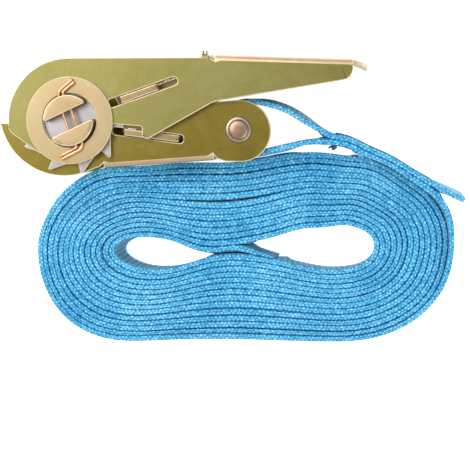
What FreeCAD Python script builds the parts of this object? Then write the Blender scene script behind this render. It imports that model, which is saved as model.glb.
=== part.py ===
import FreeCAD, Part
import math
import os
import Sketcher
from FreeCAD import Placement, Rotation, Vector

# Ratchet tie-down with its strap wound into a flat hank beside it.
# Everything lies on the plane z = 0. The ratchet lies on its side, so its axle is vertical.
# Plan positions of the ratchet and the webbing are measured from the axle; X runs along the
# ratchet towards the grip and Y points from the hank towards the grip.
# "near" parts are on the upper side of the ratchet's middle plane, "far" parts are below it.

SIZES = {
    "axle_x": -62.4,
    "axle_y": 30.8,
    "middle_height": 23.6,
    "plate": 1.6,
    "frame_inside": 27.0,
    "handle_inside": 35.6,
    "layer_gap": 0.15,
    "mandrel_radius": 9.8,
    "mandrel_length": 47.2,
    "mandrel_gap": 6.8,
    "mandrel_turn": 25.0,
    "axle_hole_radius": 10.3,
    "tooth_count": 10,
    "tip_radius": 20.9,
    "root_radius": 17.8,
    "steep_face_angle": -8.1,
    "tooth_land_angle": 2.7,
    "valley_angle": 10.4,
    "washer_radius": 16.9,
    "washer_hole_radius": 10.6,
    "washer_thickness": 1.0,
    "washer_centre_height": 20.0,
    "cotter_width": 3.8,
    "cotter_thickness": 1.7,
    "cotter_centre_height": 21.5,
    "pawl_thickness": 2.6,
    "pawl_rest_radius": 21.25,
    "drive_turn": 19.3,
    "drive_offset": 0.85,
    "lock_turn": -7.4,
    "lock_offset": -1.7,
    "spring_radius": 2.6,
    "spring_wire": 0.7,
    "pin_x": 65.2,
    "pin_y": -3.6,
    "pin_radius": 3.8,
    "pin_washer_radius": 5.0,
    "pin_washer_thickness": 0.9,
    "strap_width": 25.0,
    "strap_thickness": 2.0,
}

doc = FreeCAD.newDocument("RatchetTieDown")
sheet = doc.addObject("Spreadsheet::Sheet", "Sizes")
for row, (alias, value) in enumerate(SIZES.items(), start=1):
    sheet.set(f"A{row}", alias)
    sheet.set(f"B{row}", str(value))
    sheet.setAlias(f"B{row}", alias)
doc.recompute()


def size(alias):
    return float(sheet.get(alias))


PLATE = size("plate")
MIDDLE = size("middle_height")
FRAME_OUTSIDE = size("frame_inside") + 2 * PLATE
HANDLE_OUTSIDE = size("handle_inside") + 2 * PLATE
WHEEL_INNER_FACE = FRAME_OUTSIDE / 2 + size("layer_gap")
WHEEL_OUTER_FACE = size("handle_inside") / 2 - size("layer_gap")
PIN_CENTRE = Vector(size("pin_x"), size("pin_y"), 0)

sub_parts = []


# ---------------------------------------------------------------- outlines and features


def rounded_outline(corners):
    """Closed outline through (x, y, radius) corners: straight sides joined by tangent arcs."""
    points = [Vector(x, y, 0) for x, y, _ in corners]
    turns = []
    for i, (_, _, radius) in enumerate(corners):
        corner = points[i]
        if radius == 0:
            turns.append((corner, None, corner))
            continue
        before = (points[i - 1] - corner).normalize()
        after = (points[(i + 1) % len(points)] - corner).normalize()
        half_angle = before.getAngle(after) / 2
        reach = radius / math.tan(half_angle)
        bisector = (before + after).normalize()
        middle = corner + bisector * (radius / math.sin(half_angle) - radius)
        turns.append((corner + before * reach, middle, corner + after * reach))
    outline = []
    for i, (start, middle, end) in enumerate(turns):
        if middle is not None:
            outline.append(Part.ArcOfCircle(start, middle, end))
        following = turns[(i + 1) % len(turns)][0]
        if (following - end).Length > 1e-6:
            outline.append(Part.LineSegment(end, following))
    return outline


def turned(corners, degrees, shift=0.0):
    """Corners moved by shift along Y and then turned about the axle."""
    cosine = math.cos(math.radians(degrees))
    sine = math.sin(math.radians(degrees))
    return [
        (x * cosine - (y + shift) * sine, x * sine + (y + shift) * cosine, radius)
        for x, y, radius in corners
    ]


def circle(radius, centre=Vector(0, 0, 0)):
    return [Part.Circle(centre, Vector(0, 0, 1), radius)]


def new_body(label):
    """Body whose origin is on the axle, at the ratchet's middle plane."""
    body = doc.addObject("PartDesign::Body", label)
    body.Label = label
    body.setExpression("Placement.Base.x", "Sizes.axle_x")
    body.setExpression("Placement.Base.y", "Sizes.axle_y")
    body.setExpression("Placement.Base.z", "Sizes.middle_height")
    sub_parts.append(body)
    return body


def add_sketch(body, name, geometry, plane="XY_Plane", radius_cell=None):
    """Sketch on one of the body's own planes; radius_cell binds the radius of its only circle."""
    sketch = body.newObject("Sketcher::SketchObject", name)
    support = [f for f in body.Origin.OriginFeatures if f.Role == plane][0]
    sketch.AttachmentSupport = [(support, "")]
    sketch.MapMode = "FlatFace"
    sketch.addGeometry(geometry, False)
    if radius_cell:
        row = sketch.addConstraint(Sketcher.Constraint("Radius", 0, size(radius_cell)))
        sketch.setExpression(f"Constraints[{row}]", f"Sizes.{radius_cell}")
    return sketch


def add_feature(body, kind, sketch, length):
    """Pad or pocket, equally to both sides of the sketch's plane. Length is an expression."""
    feature = body.newObject(f"PartDesign::{kind}", f"{sketch.Name}_{kind}")
    feature.Profile = sketch
    feature.SideType = "Symmetric"
    feature.setExpression("Length", length)
    doc.recompute()
    return feature


def pad(body, name, geometry, length, plane="XY_Plane", radius_cell=None):
    return add_feature(body, "Pad", add_sketch(body, name, geometry, plane, radius_cell), length)


def pocket(body, name, geometry, length, plane="XY_Plane", radius_cell=None):
    before = body.Shape.Volume
    feature = add_feature(body, "Pocket", add_sketch(body, name, geometry, plane, radius_cell), length)
    if body.Shape.Volume >= before:
        raise RuntimeError(f"{name} removes nothing")
    return feature


# ---------------------------------------------------------------- frame and what it holds

SLOT_INNER_END = 16.2
LOCK_SLOT_OUTER_END = 44.3
DRIVE_SLOT_OUTER_END = 44.6
SLOT_CLEARANCE = 0.3
FRAME_WEB_START = 12.2
FRAME_WEB_END = 55.6
FRAME_EDGE_LEFT = -18.6
FRAME_EDGE_SLOPE = 0.0746
FRAME_END_RADIUS = 12.5


def frame_edge(x, inset=0.0):
    """Outer face of the frame's web, or a line parallel to it, inset towards the axle."""
    return FRAME_EDGE_LEFT + FRAME_EDGE_SLOPE * (x - FRAME_WEB_START) + inset


def round_corners(centre, radius, angles):
    """Corners whose tangent arcs make one round edge between the first and last of the angles."""
    corners = []
    for first, last in zip(angles, angles[1:]):
        direction = math.radians((first + last) / 2)
        reach = radius / math.cos(math.radians((last - first) / 2))
        x = centre[0] + reach * math.cos(direction)
        y = centre[1] + reach * math.sin(direction)
        corners.append((x, y, 0.98 * radius))
    return corners


def slot_outline(outer_end, turn, offset):
    """Rounded slot along a pawl's line of travel, a little wider than the pawl."""
    half_width = size("pawl_thickness") / 2 + SLOT_CLEARANCE
    radius = half_width * 0.9
    corners = [
        (SLOT_INNER_END, -half_width, radius),
        (outer_end, -half_width, radius),
        (outer_end, half_width, radius),
        (SLOT_INNER_END, half_width, radius),
    ]
    return rounded_outline(turned(corners, turn, offset))


def make_frame():
    body = new_body("frame")
    right = PIN_CENTRE.x + FRAME_END_RADIUS
    boss = size("axle_hole_radius") + 5.2
    side = [(-28.5, -1.0, 0.9)]
    side += round_corners((-3.5, 3.5), 25.2, (193.0, 226.0, 259.0, 291.0))
    side += [
        (10.2, -18.2, 1.0),
        (FRAME_WEB_START, frame_edge(FRAME_WEB_START), 0.0),
        (FRAME_WEB_END, frame_edge(FRAME_WEB_END), 0.0),
        (60.0, -16.0, 4.0),
        (right, -16.2, 11.7),
        (right, PIN_CENTRE.y + FRAME_END_RADIUS, 12.0),
        (20.5, 4.2, 3.0),
        (15.1, 4.1, 1.0),
    ]
    side += round_corners((0.0, 0.0), boss, (22.0, 97.0, 172.0))
    side += [(-15.8, -1.0, 1.5)]
    pad(body, "frame_side", rounded_outline(side), "Sizes.frame_inside + 2 * Sizes.plate")
    channel = [
        (-40, -30, 0),
        (FRAME_WEB_START, -30, 0),
        (FRAME_WEB_START, frame_edge(FRAME_WEB_START, PLATE), 0),
        (FRAME_WEB_END, frame_edge(FRAME_WEB_END, PLATE), 0),
        (FRAME_WEB_END, -30, 0),
        (90, -30, 0),
        (90, 30, 0),
        (-40, 30, 0),
    ]
    pocket(body, "frame_channel", rounded_outline(channel), "Sizes.frame_inside")
    reach = "2 * Sizes.frame_inside"
    pocket(body, "frame_axle_hole", circle(size("axle_hole_radius")), reach,
           radius_cell="axle_hole_radius")
    pocket(body, "frame_pin_hole", circle(size("pin_radius"), PIN_CENTRE), reach,
           radius_cell="pin_radius")
    slot = slot_outline(LOCK_SLOT_OUTER_END, size("lock_turn"), size("lock_offset"))
    pocket(body, "frame_lock_slot", slot, reach)


def make_anchor_pin():
    """Cross pin that the sewn loop goes round, riveted over outside each side plate."""
    body = new_body("anchor_pin")
    pad(body, "pin_shaft", circle(size("pin_radius"), PIN_CENTRE),
        "Sizes.frame_inside + 2 * Sizes.plate + 3 * Sizes.pin_washer_thickness",
        radius_cell="pin_radius")


def make_anchor_pin_washers():
    """The two rings under the riveted ends of the anchor pin."""
    rings = []
    for name, side in (("near", 1), ("far", -1)):
        outer = doc.addObject("Part::Cylinder", f"pin_ring_{name}")
        outer.setExpression("Radius", "Sizes.pin_washer_radius")
        outer.setExpression("Height", "Sizes.pin_washer_thickness")
        hole = doc.addObject("Part::Cylinder", f"pin_ring_hole_{name}")
        hole.setExpression("Radius", "Sizes.pin_radius")
        hole.setExpression("Height", "Sizes.pin_washer_thickness")
        ring = doc.addObject("Part::Cut", f"pin_ring_cut_{name}")
        ring.Base = outer
        ring.Tool = hole
        lift = "Sizes.frame_inside / 2 + Sizes.plate"
        if side < 0:
            lift = f"-({lift}) - Sizes.pin_washer_thickness"
        ring.setExpression("Placement.Base.z", lift)
        rings.append(ring)
    both = doc.addObject("Part::Compound", "anchor_pin_washers")
    both.Label = "anchor_pin_washers"
    both.Links = rings
    both.setExpression("Placement.Base.x", "Sizes.axle_x + Sizes.pin_x")
    both.setExpression("Placement.Base.y", "Sizes.axle_y + Sizes.pin_y")
    both.setExpression("Placement.Base.z", "Sizes.middle_height")
    sub_parts.append(both)


LOCK_PAWL_LENGTH = 21.4
LOCK_SEAT_START = 52.0
SEAT_THICKNESS = 1.4
SEAT_HALF_HEIGHT = 4.6
ROD_RADIUS = 1.3


def make_lock_spring_seat():
    """Cross plate between the side plates, with the rod that guides the lock pawl's spring."""
    body = new_body("lock_spring_seat")
    plate = [
        (LOCK_SEAT_START, -SEAT_HALF_HEIGHT, 0.5),
        (LOCK_SEAT_START + SEAT_THICKNESS, -SEAT_HALF_HEIGHT, 0.5),
        (LOCK_SEAT_START + SEAT_THICKNESS, SEAT_HALF_HEIGHT, 0.5),
        (LOCK_SEAT_START, SEAT_HALF_HEIGHT, 0.5),
    ]
    outline = rounded_outline(turned(plate, size("lock_turn"), size("lock_offset")))
    pad(body, "lock_seat_plate", outline, "Sizes.frame_inside")
    rod_start = size("pawl_rest_radius") + LOCK_PAWL_LENGTH + 1.2
    rod = [
        (rod_start, -ROD_RADIUS, 0.6),
        (LOCK_SEAT_START + 0.2, -ROD_RADIUS, 0),
        (LOCK_SEAT_START + 0.2, ROD_RADIUS, 0),
        (rod_start, ROD_RADIUS, 0.6),
    ]
    outline = rounded_outline(turned(rod, size("lock_turn"), size("lock_offset")))
    pad(body, "lock_seat_rod", outline, f"{2 * ROD_RADIUS}")


def make_spring(label, start, end, turn_cell, offset_cell):
    """Coil spring as the closed sleeve that its turns fill, along a pawl's line of travel."""
    length = end - start
    outer = doc.addObject("Part::Cylinder", f"{label}_outside")
    outer.setExpression("Radius", "Sizes.spring_radius")
    outer.Height = length
    inner = doc.addObject("Part::Cylinder", f"{label}_inside")
    inner.setExpression("Radius", "Sizes.spring_radius - Sizes.spring_wire")
    inner.Height = length
    sleeve = doc.addObject("Part::Cut", label)
    sleeve.Label = label
    sleeve.Base = outer
    sleeve.Tool = inner
    along = Rotation(Vector(0, 0, 1), size(turn_cell))
    base = along.multVec(Vector(start, size(offset_cell), 0))
    centre = Vector(size("axle_x"), size("axle_y"), MIDDLE) + base
    sleeve.Placement = Placement(centre, along.multiply(Rotation(Vector(0, 1, 0), 90)))
    sub_parts.append(sleeve)


# ---------------------------------------------------------------- handle and its spring bracket

HANDLE_RADIUS = 24.1
GRIP_START = 55.7
GRIP_END = 109.2
GRIP_TOP_START = 25.2
GRIP_TOP_END = 23.4
LIP_HALF_WIDTH = 14.0


def make_handle():
    body = new_body("handle")
    side = [
        (-HANDLE_RADIUS, HANDLE_RADIUS, HANDLE_RADIUS - 0.05),
        (-HANDLE_RADIUS - 0.2, -4.0, 4.0),
        (-12.0, -12.8, 3.0),
        (6.0, -12.8, 8.0),
        (14.6, -1.2, 1.5),
        (28.0, -2.3, 0.5),
        (28.0, -8.5, 1.2),
        (56.0, 7.2, 8.0),
        (104.0, 15.2, 20.0),
        (GRIP_END, 17.0, 3.0),
        (GRIP_END, GRIP_TOP_END, 0.6),
        (GRIP_START, GRIP_TOP_START, 0.6),
        (GRIP_START - 1.2, HANDLE_RADIUS, 0.6),
    ]
    pad(body, "handle_side", rounded_outline(side), "Sizes.handle_inside + 2 * Sizes.plate")
    channel = [
        (-40, -30, 0),
        (130, -30, 0),
        (130, GRIP_TOP_END - PLATE, 0),
        (GRIP_END, GRIP_TOP_END - PLATE, 0),
        (GRIP_START, GRIP_TOP_START - PLATE, 0),
        (GRIP_START, 40, 0),
        (-40, 40, 0),
    ]
    pocket(body, "handle_channel", rounded_outline(channel), "Sizes.handle_inside")
    reach = "2 * Sizes.handle_inside"
    pocket(body, "handle_axle_hole", circle(size("axle_hole_radius")), reach,
           radius_cell="axle_hole_radius")
    slot = slot_outline(DRIVE_SLOT_OUTER_END, size("drive_turn"), size("drive_offset"))
    pocket(body, "handle_drive_slot", slot, reach)
    lip = [
        (GRIP_END - 2.0, GRIP_TOP_END, 0),
        (GRIP_END, GRIP_TOP_END, 1.0),
        (115.6, 21.0, 0.6),
        (115.0, 19.5, 0.6),
        (GRIP_END - 0.3, GRIP_TOP_END - PLATE, 1.0),
        (GRIP_END - 2.0, GRIP_TOP_END - PLATE, 0),
    ]
    pad(body, "handle_lip", rounded_outline(lip), f"{2 * LIP_HALF_WIDTH}")


DRIVE_SEAT_START = 46.2


def make_drive_spring_bracket():
    """Bent tongue under the grip: it carries the drive spring, and its bar hooks over the side plates."""
    body = new_body("drive_spring_bracket")
    seat = turned(
        [
            (DRIVE_SEAT_START, -3.4, 0.4),
            (DRIVE_SEAT_START + SEAT_THICKNESS, -3.4, 0.4),
            (DRIVE_SEAT_START + SEAT_THICKNESS, 4.2, 0.4),
            (DRIVE_SEAT_START, 4.4, 1.0),
        ],
        size("drive_turn"),
        size("drive_offset"),
    )
    tongue = seat[:3] + [(51.6, 24.2, 0.5), (51.6, 25.6, 0.4), (50.6, 25.6, 0.4)] + seat[3:]
    pad(body, "bracket_tongue", rounded_outline(tongue), "15")
    bar = [(51.2, 24.2, 0), (53.7, 24.2, 0), (53.7, 25.6, 0.5), (51.2, 25.6, 0)]
    pad(body, "bracket_bar", rounded_outline(bar), "Sizes.handle_inside + 2 * Sizes.plate")
    for i, start in enumerate((51.5, 52.8)):
        prong = [(start, 25.0, 0), (start + 0.9, 25.0, 0), (start + 0.9, 26.8, 0.3), (start, 26.8, 0.3)]
        pad(body, f"bracket_prong_{i}", rounded_outline(prong),
            "Sizes.handle_inside + 2 * Sizes.plate")
    between = [(50.0, 25.6, 0), (55.0, 25.6, 0), (55.0, 28.0, 0), (50.0, 28.0, 0)]
    pocket(body, "bracket_prong_gap", rounded_outline(between), "Sizes.handle_inside")
    rod_start = size("pawl_rest_radius") + DRIVE_LUG_LENGTH + 1.2
    rod = [
        (rod_start, -ROD_RADIUS, 0.6),
        (DRIVE_SEAT_START + 0.2, -ROD_RADIUS, 0),
        (DRIVE_SEAT_START + 0.2, ROD_RADIUS, 0),
        (rod_start, ROD_RADIUS, 0.6),
    ]
    outline = rounded_outline(turned(rod, size("drive_turn"), size("drive_offset")))
    pad(body, "bracket_rod", outline, f"{2 * ROD_RADIUS}")


# ---------------------------------------------------------------- pawls

DRIVE_LUG_LENGTH = 15.4
LUG_INSET = 0.05
PULL_OUTER_HALF = 11.0
PULL_INNER_HALF = 8.3
PULL_BAR_START = 56.0
PULL_BAR_END = 61.0


def mirrored(corners):
    """The corners, followed by their mirror images across the sketch's first axis."""
    return corners + [(x, -y, radius) for x, y, radius in reversed(corners)]


def place_pawl(body, turn_cell, offset_cell):
    """Pawls are flat plates drawn in the plane of their travel and the axle direction."""
    turn = Rotation(Vector(0, 0, 1), size(turn_cell))
    base = turn.multVec(Vector(0, size(offset_cell), 0))
    body.Placement = Placement(Vector(), turn)
    body.setExpression("Placement.Base.x", f"Sizes.axle_x + {base.x}")
    body.setExpression("Placement.Base.y", f"Sizes.axle_y + {base.y}")


def make_drive_pawl():
    """Plate with two lugs in the handle's slots and a window frame that the fingers pull."""
    body = new_body("drive_pawl")
    nose = size("pawl_rest_radius")
    heel = nose + DRIVE_LUG_LENGTH
    crossbar = nose + 10.5
    outline = [
        (crossbar, WHEEL_INNER_FACE + 0.1, 0.8),
        (nose, WHEEL_INNER_FACE + 0.1, 0.4),
        (nose, HANDLE_OUTSIDE / 2 - LUG_INSET, 0.4),
        (heel, HANDLE_OUTSIDE / 2 - LUG_INSET, 0.6),
        (heel, PULL_OUTER_HALF, 2.0),
        (PULL_BAR_END, PULL_OUTER_HALF, 3.0),
    ]
    pad(body, "drive_plate", rounded_outline(mirrored(outline)), "Sizes.pawl_thickness",
        plane="XZ_Plane")
    window = [(heel, PULL_INNER_HALF, 1.0), (PULL_BAR_START, PULL_INNER_HALF, 1.0)]
    pocket(body, "drive_window", rounded_outline(mirrored(window)), "2 * Sizes.pawl_thickness",
           plane="XZ_Plane")
    place_pawl(body, "drive_turn", "drive_offset")


def make_lock_pawl():
    """Plate across the frame: its two lugs outside the side plates drop into the wheels."""
    body = new_body("lock_pawl")
    nose = size("pawl_rest_radius")
    tail = nose + LOCK_PAWL_LENGTH
    lug_end = nose + 10.6
    outline = [
        (nose + 3.0, size("frame_inside") / 2 - 1.0, 1.0),
        (nose, size("frame_inside") / 2 - 1.0, 0.4),
        (nose, WHEEL_OUTER_FACE - LUG_INSET, 0.4),
        (lug_end, WHEEL_OUTER_FACE - LUG_INSET, 0.6),
        (lug_end, FRAME_OUTSIDE / 2 - LUG_INSET, 0),
        (tail, FRAME_OUTSIDE / 2 - LUG_INSET, 0.6),
    ]
    pad(body, "lock_plate", rounded_outline(mirrored(outline)), "Sizes.pawl_thickness",
        plane="XZ_Plane")
    place_pawl(body, "lock_turn", "lock_offset")


# ---------------------------------------------------------------- mandrel

COTTER_PATH = [(2.3, 15.6), (-1.5, 10.8), (4.4, -10.7), (-3.0, -15.0)]
COTTER_HOLE_CLEARANCE = 0.15


def make_mandrel_half(label, extra_turn):
    """One half-round bar of the split mandrel, drilled near both ends for the split pins."""
    round_bar = doc.addObject("Part::Cylinder", f"{label}_bar")
    round_bar.setExpression("Radius", "Sizes.mandrel_radius")
    round_bar.setExpression("Height", "Sizes.mandrel_length")
    round_bar.setExpression("Placement.Base.z", "-Sizes.mandrel_length / 2")
    away = doc.addObject("Part::Box", f"{label}_away")
    away.setExpression("Length", "4 * Sizes.mandrel_radius")
    away.setExpression("Width", "2 * Sizes.mandrel_radius + Sizes.mandrel_gap / 2")
    away.setExpression("Height", "2 * Sizes.mandrel_length")
    away.setExpression("Placement.Base.x", "-2 * Sizes.mandrel_radius")
    away.setExpression("Placement.Base.y", "-2 * Sizes.mandrel_radius")
    away.setExpression("Placement.Base.z", "-Sizes.mandrel_length")
    half = doc.addObject("Part::Cut", f"{label}_half")
    half.Base = round_bar
    half.Tool = away
    doc.recompute()
    smooth = doc.addObject("Part::Fillet", f"{label}_smooth")
    smooth.Base = half
    smooth.Edges = [(i, 0.9, 0.9) for i in range(1, len(half.Shape.Edges) + 1)]
    previous = smooth
    turn = size("mandrel_turn") + extra_turn
    top, bottom = Vector(*COTTER_PATH[1], 0), Vector(*COTTER_PATH[2], 0)
    middle = (top + bottom) / 2
    unturn = Rotation(Vector(0, 0, 1), -turn)
    direction = math.degrees(math.atan2(top.y - bottom.y, top.x - bottom.x))
    width = size("cotter_width") + 2 * COTTER_HOLE_CLEARANCE
    height = size("cotter_thickness") + 2 * COTTER_HOLE_CLEARANCE
    length = 4 * size("mandrel_radius")
    for name, side in (("near", 1), ("far", -1)):
        hole = doc.addObject("Part::Box", f"{label}_hole_{name}")
        hole.Length = length
        hole.Width = width
        hole.Height = height
        around = Rotation(Vector(0, 0, 1), direction - turn)
        corner = unturn.multVec(middle) + around.multVec(Vector(-length / 2, -width / 2, 0))
        corner.z = side * size("cotter_centre_height") - height / 2
        hole.Placement = Placement(corner, around)
        drilled = doc.addObject("Part::Cut", label if side < 0 else f"{label}_drilled")
        drilled.Base = previous
        drilled.Tool = hole
        previous = drilled
    previous.Label = label
    centre = Vector(size("axle_x"), size("axle_y"), MIDDLE)
    previous.Placement = Placement(centre, Rotation(Vector(0, 0, 1), turn))
    sub_parts.append(previous)


def d_hole(radius, flat, turn):
    """Half-round hole whose flat side is at the given distance from the axle."""
    reach = math.sqrt(radius * radius - flat * flat)
    spin = Rotation(Vector(0, 0, 1), turn)
    left = spin.multVec(Vector(-reach, flat, 0))
    right = spin.multVec(Vector(reach, flat, 0))
    crown = spin.multVec(Vector(0, radius, 0))
    return [Part.ArcOfCircle(right, crown, left), Part.LineSegment(left, right)]


def polar(radius, degrees):
    return Vector(radius * math.cos(math.radians(degrees)), radius * math.sin(math.radians(degrees)), 0)


def make_ratchet_wheel(name, side):
    """Toothed wheel: steep faces face clockwise, and a bridge is left between the mandrel halves."""
    body = new_body(f"ratchet_wheel_{name}")
    body.setExpression("Placement.Base.z", f"Sizes.middle_height + {side} * "
                       "(Sizes.frame_inside / 4 + Sizes.plate / 2 + Sizes.handle_inside / 4)")
    tip, root = size("tip_radius"), size("root_radius")
    count = int(size("tooth_count"))
    pitch = 360 / count
    outline = []
    for tooth in range(count):
        steep = size("steep_face_angle") + tooth * pitch
        valley = steep - size("valley_angle")
        next_valley = valley + pitch
        crest = steep + size("tooth_land_angle")
        outline.append(Part.ArcOfCircle(polar(root, valley), polar(root, (valley + steep) / 2),
                                        polar(root, steep)))
        outline.append(Part.LineSegment(polar(root, steep), polar(tip, steep)))
        outline.append(Part.LineSegment(polar(tip, steep), polar(tip, crest)))
        outline.append(Part.LineSegment(polar(tip, crest), polar(root, next_valley)))
    thickness = "(Sizes.handle_inside - Sizes.frame_inside) / 2 - Sizes.plate - 2 * Sizes.layer_gap"
    pad(body, f"wheel_{name}", outline, thickness)
    for half, turn in (("upper", 0), ("lower", 180)):
        hole = d_hole(size("mandrel_radius") + 0.05, size("mandrel_gap") / 2 - 0.05,
                      size("mandrel_turn") + turn)
        pocket(body, f"wheel_{name}_{half}_hole", hole, "20")


def strip_outline(path, width, corner):
    """Outline of a strip of the given width that follows a path of straight runs."""
    points = [Vector(x, y, 0) for x, y in path]
    runs = [(b - a).normalize() for a, b in zip(points, points[1:])]
    normals = [Vector(-run.y, run.x, 0) for run in runs]
    left, right = [], []
    for i, point in enumerate(points):
        before = normals[max(i - 1, 0)]
        after = normals[min(i, len(normals) - 1)]
        bisector = (before + after).normalize()
        reach = width / 2 / bisector.dot(after)
        left.append((point.x + bisector.x * reach, point.y + bisector.y * reach, corner))
        right.append((point.x - bisector.x * reach, point.y - bisector.y * reach, corner))
    return rounded_outline(left + right[::-1])


def make_cotter_pin(name, side):
    """Split pin through both mandrel halves, its ends bent round the mandrel."""
    body = new_body(f"cotter_pin_{name}")
    body.setExpression("Placement.Base.z",
                       f"Sizes.middle_height + {side} * Sizes.cotter_centre_height")
    outline = strip_outline(COTTER_PATH, size("cotter_width"), 0.8)
    pad(body, f"cotter_{name}", outline, "Sizes.cotter_thickness")


def make_washer(name, side):
    """Thin loose disc between the handle's side plate and the split pin."""
    body = new_body(f"washer_{name}")
    body.setExpression("Placement.Base.z",
                       f"Sizes.middle_height + {side} * Sizes.washer_centre_height")
    pad(body, f"washer_{name}_disc", circle(size("washer_radius")), "Sizes.washer_thickness",
        radius_cell="washer_radius")
    pocket(body, f"washer_{name}_hole", circle(size("washer_hole_radius")), "10",
           radius_cell="washer_hole_radius")


# ---------------------------------------------------------------- webbing

LAP_PATH = [(100.5, -9.45), (106.5, -9.8), (115.0, -13.3), (124.0, -17.6), (133.0, -22.8), (140.6, -27.6)]
LEAD_PATH = LAP_PATH + [(145.2, -31.8), (147.4, -37.4), (148.1, -43.0), (148.1, -47.5)]
TAIL_TIP = (152.6, -30.4)
HANK_OUTLINE = [
    (-17.3, -53.0), (-13.4, -38.0), (-5.6, -28.4), (6.0, -22.4), (24.0, -20.2), (46.0, -18.5),
    (66.0, -16.9), (84.0, -12.9), (101.0, -11.9), (115.0, -15.7), (128.0, -22.0), (138.0, -29.0),
    (144.2, -37.0), (146.9, -47.5), (146.6, -57.0), (141.8, -67.6), (133.4, -76.6), (121.8, -83.4),
    (108.0, -86.4), (62.0, -86.6), (20.0, -88.3), (0.0, -82.0), (-12.0, -70.5),
]
HANDLE_SWEEP_RADIUS = 24.7
HANDLE_SWEEP_TOP = 8.3


def make_webbing_loop():
    """Sewn eye round the anchor pin, wide enough to swing on it."""
    outer = [
        (100.5, -6.4, 0),
        (97.0, -5.6, 5.0),
        (78.6, 8.6, 12.0),
        (58.9, 8.6, 9.0),
        (58.9, -13.6, 9.0),
        (72.0, -13.6, 12.0),
        (88.0, -10.8, 25.0),
        (100.5, -10.5, 0),
    ]
    edge = Part.Wire([curve.toShape() for curve in rounded_outline(outer)])
    thickness = size("strap_thickness")
    eye = Part.Face(edge).cut(Part.Face(edge.makeOffset2D(-thickness)))
    add_webbing("webbing_loop", eye, MIDDLE - size("strap_width") / 2)


def add_webbing(label, face, height):
    """Strap on its edge: a face in plan, as tall as the strap is wide."""
    solid = face.extrude(Vector(0, 0, size("strap_width")))
    feature = doc.addObject("Part::Feature", label)
    feature.Label = label
    feature.Shape = solid.Solids[0] if len(solid.Solids) == 1 else solid
    feature.Placement = Placement(Vector(size("axle_x"), size("axle_y"), height), Rotation())
    sub_parts.append(feature)


def side_step(path):
    """Unit normals to the left of a path, one at each of its points."""
    points = [Vector(x, y, 0) for x, y in path]
    normals = []
    for i in range(len(points)):
        run = points[min(i + 1, len(points) - 1)] - points[max(i - 1, 0)]
        normals.append(Vector(-run.y, run.x, 0).normalize())
    return points, normals


def descending_strap(label, path, offset, heights):
    """Strap on its edge that comes down from the loop to the level of the hank."""
    points, normals = side_step(path)
    half = size("strap_thickness") / 2
    width = size("strap_width")
    sections = []
    for point, normal, low in zip(points, normals, heights):
        inner = point + normal * (offset - half)
        outer = point + normal * (offset + half)
        corners = [
            Vector(inner.x, inner.y, low),
            Vector(outer.x, outer.y, low),
            Vector(outer.x, outer.y, low + width),
            Vector(inner.x, inner.y, low + width),
        ]
        sections.append(Part.makePolygon(corners + corners[:1]))
    feature = doc.addObject("Part::Feature", label)
    feature.Label = label
    feature.Shape = Part.makeLoft(sections, True, True)
    feature.Placement = Placement(Vector(size("axle_x"), size("axle_y"), 0), Rotation())
    sub_parts.append(feature)


def descent(path, share):
    """Heights of the strap's lower edge, falling from the loop's level by a share of its drop."""
    start = MIDDLE - size("strap_width") / 2
    lengths = [0.0]
    for (x0, y0), (x1, y1) in zip(path, path[1:]):
        lengths.append(lengths[-1] + math.hypot(x1 - x0, y1 - y0))
    return [start * (1 - share * length / lengths[-1]) for length in lengths]


def make_webbing_lap():
    """The strap's end doubled back on itself and sewn: the lead runs on and the tail stops."""
    heights = descent(LEAD_PATH, 1.0)
    descending_strap("webbing_lead", LEAD_PATH, 0.0, heights)
    tail_path = LAP_PATH + [TAIL_TIP]
    tail_heights = heights[: len(LAP_PATH)] + [heights[len(LAP_PATH)]]
    points, normals = side_step(LAP_PATH)
    shift = size("strap_thickness") + 0.05
    shifted = [(p.x + n.x * shift, p.y + n.y * shift) for p, n in zip(points, normals)]
    descending_strap("webbing_tail", shifted + tail_path[-1:], 0.0, tail_heights)


def make_webbing_stitches():
    """Rows of thread that go through both plies of the lap."""
    points, normals = side_step(LAP_PATH)
    heights = descent(LEAD_PATH, 1.0)
    rows = []
    reach = 2 * size("strap_thickness") + 0.9
    for i in range(1, len(points)):
        run = (points[i] - points[i - 1]).normalize()
        for share in (0.35, 0.65):
            at = points[i - 1] + (points[i] - points[i - 1]) * share
            low = heights[i - 1] + (heights[i] - heights[i - 1]) * share
            row = Part.makeBox(0.7, reach, size("strap_width") - 4.0)
            row.translate(Vector(-0.35, -size("strap_thickness") / 2 - 0.4, low + 2.0))
            row.rotate(Vector(0, 0, 0), Vector(0, 0, 1), math.degrees(math.atan2(run.y, run.x)))
            row.translate(at)
            rows.append(row)
    feature = doc.addObject("Part::Feature", "webbing_stitches")
    feature.Label = "webbing_stitches"
    feature.Shape = Part.makeCompound(rows)
    feature.Placement = Placement(Vector(size("axle_x"), size("axle_y"), 0), Rotation())
    sub_parts.append(feature)


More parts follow.
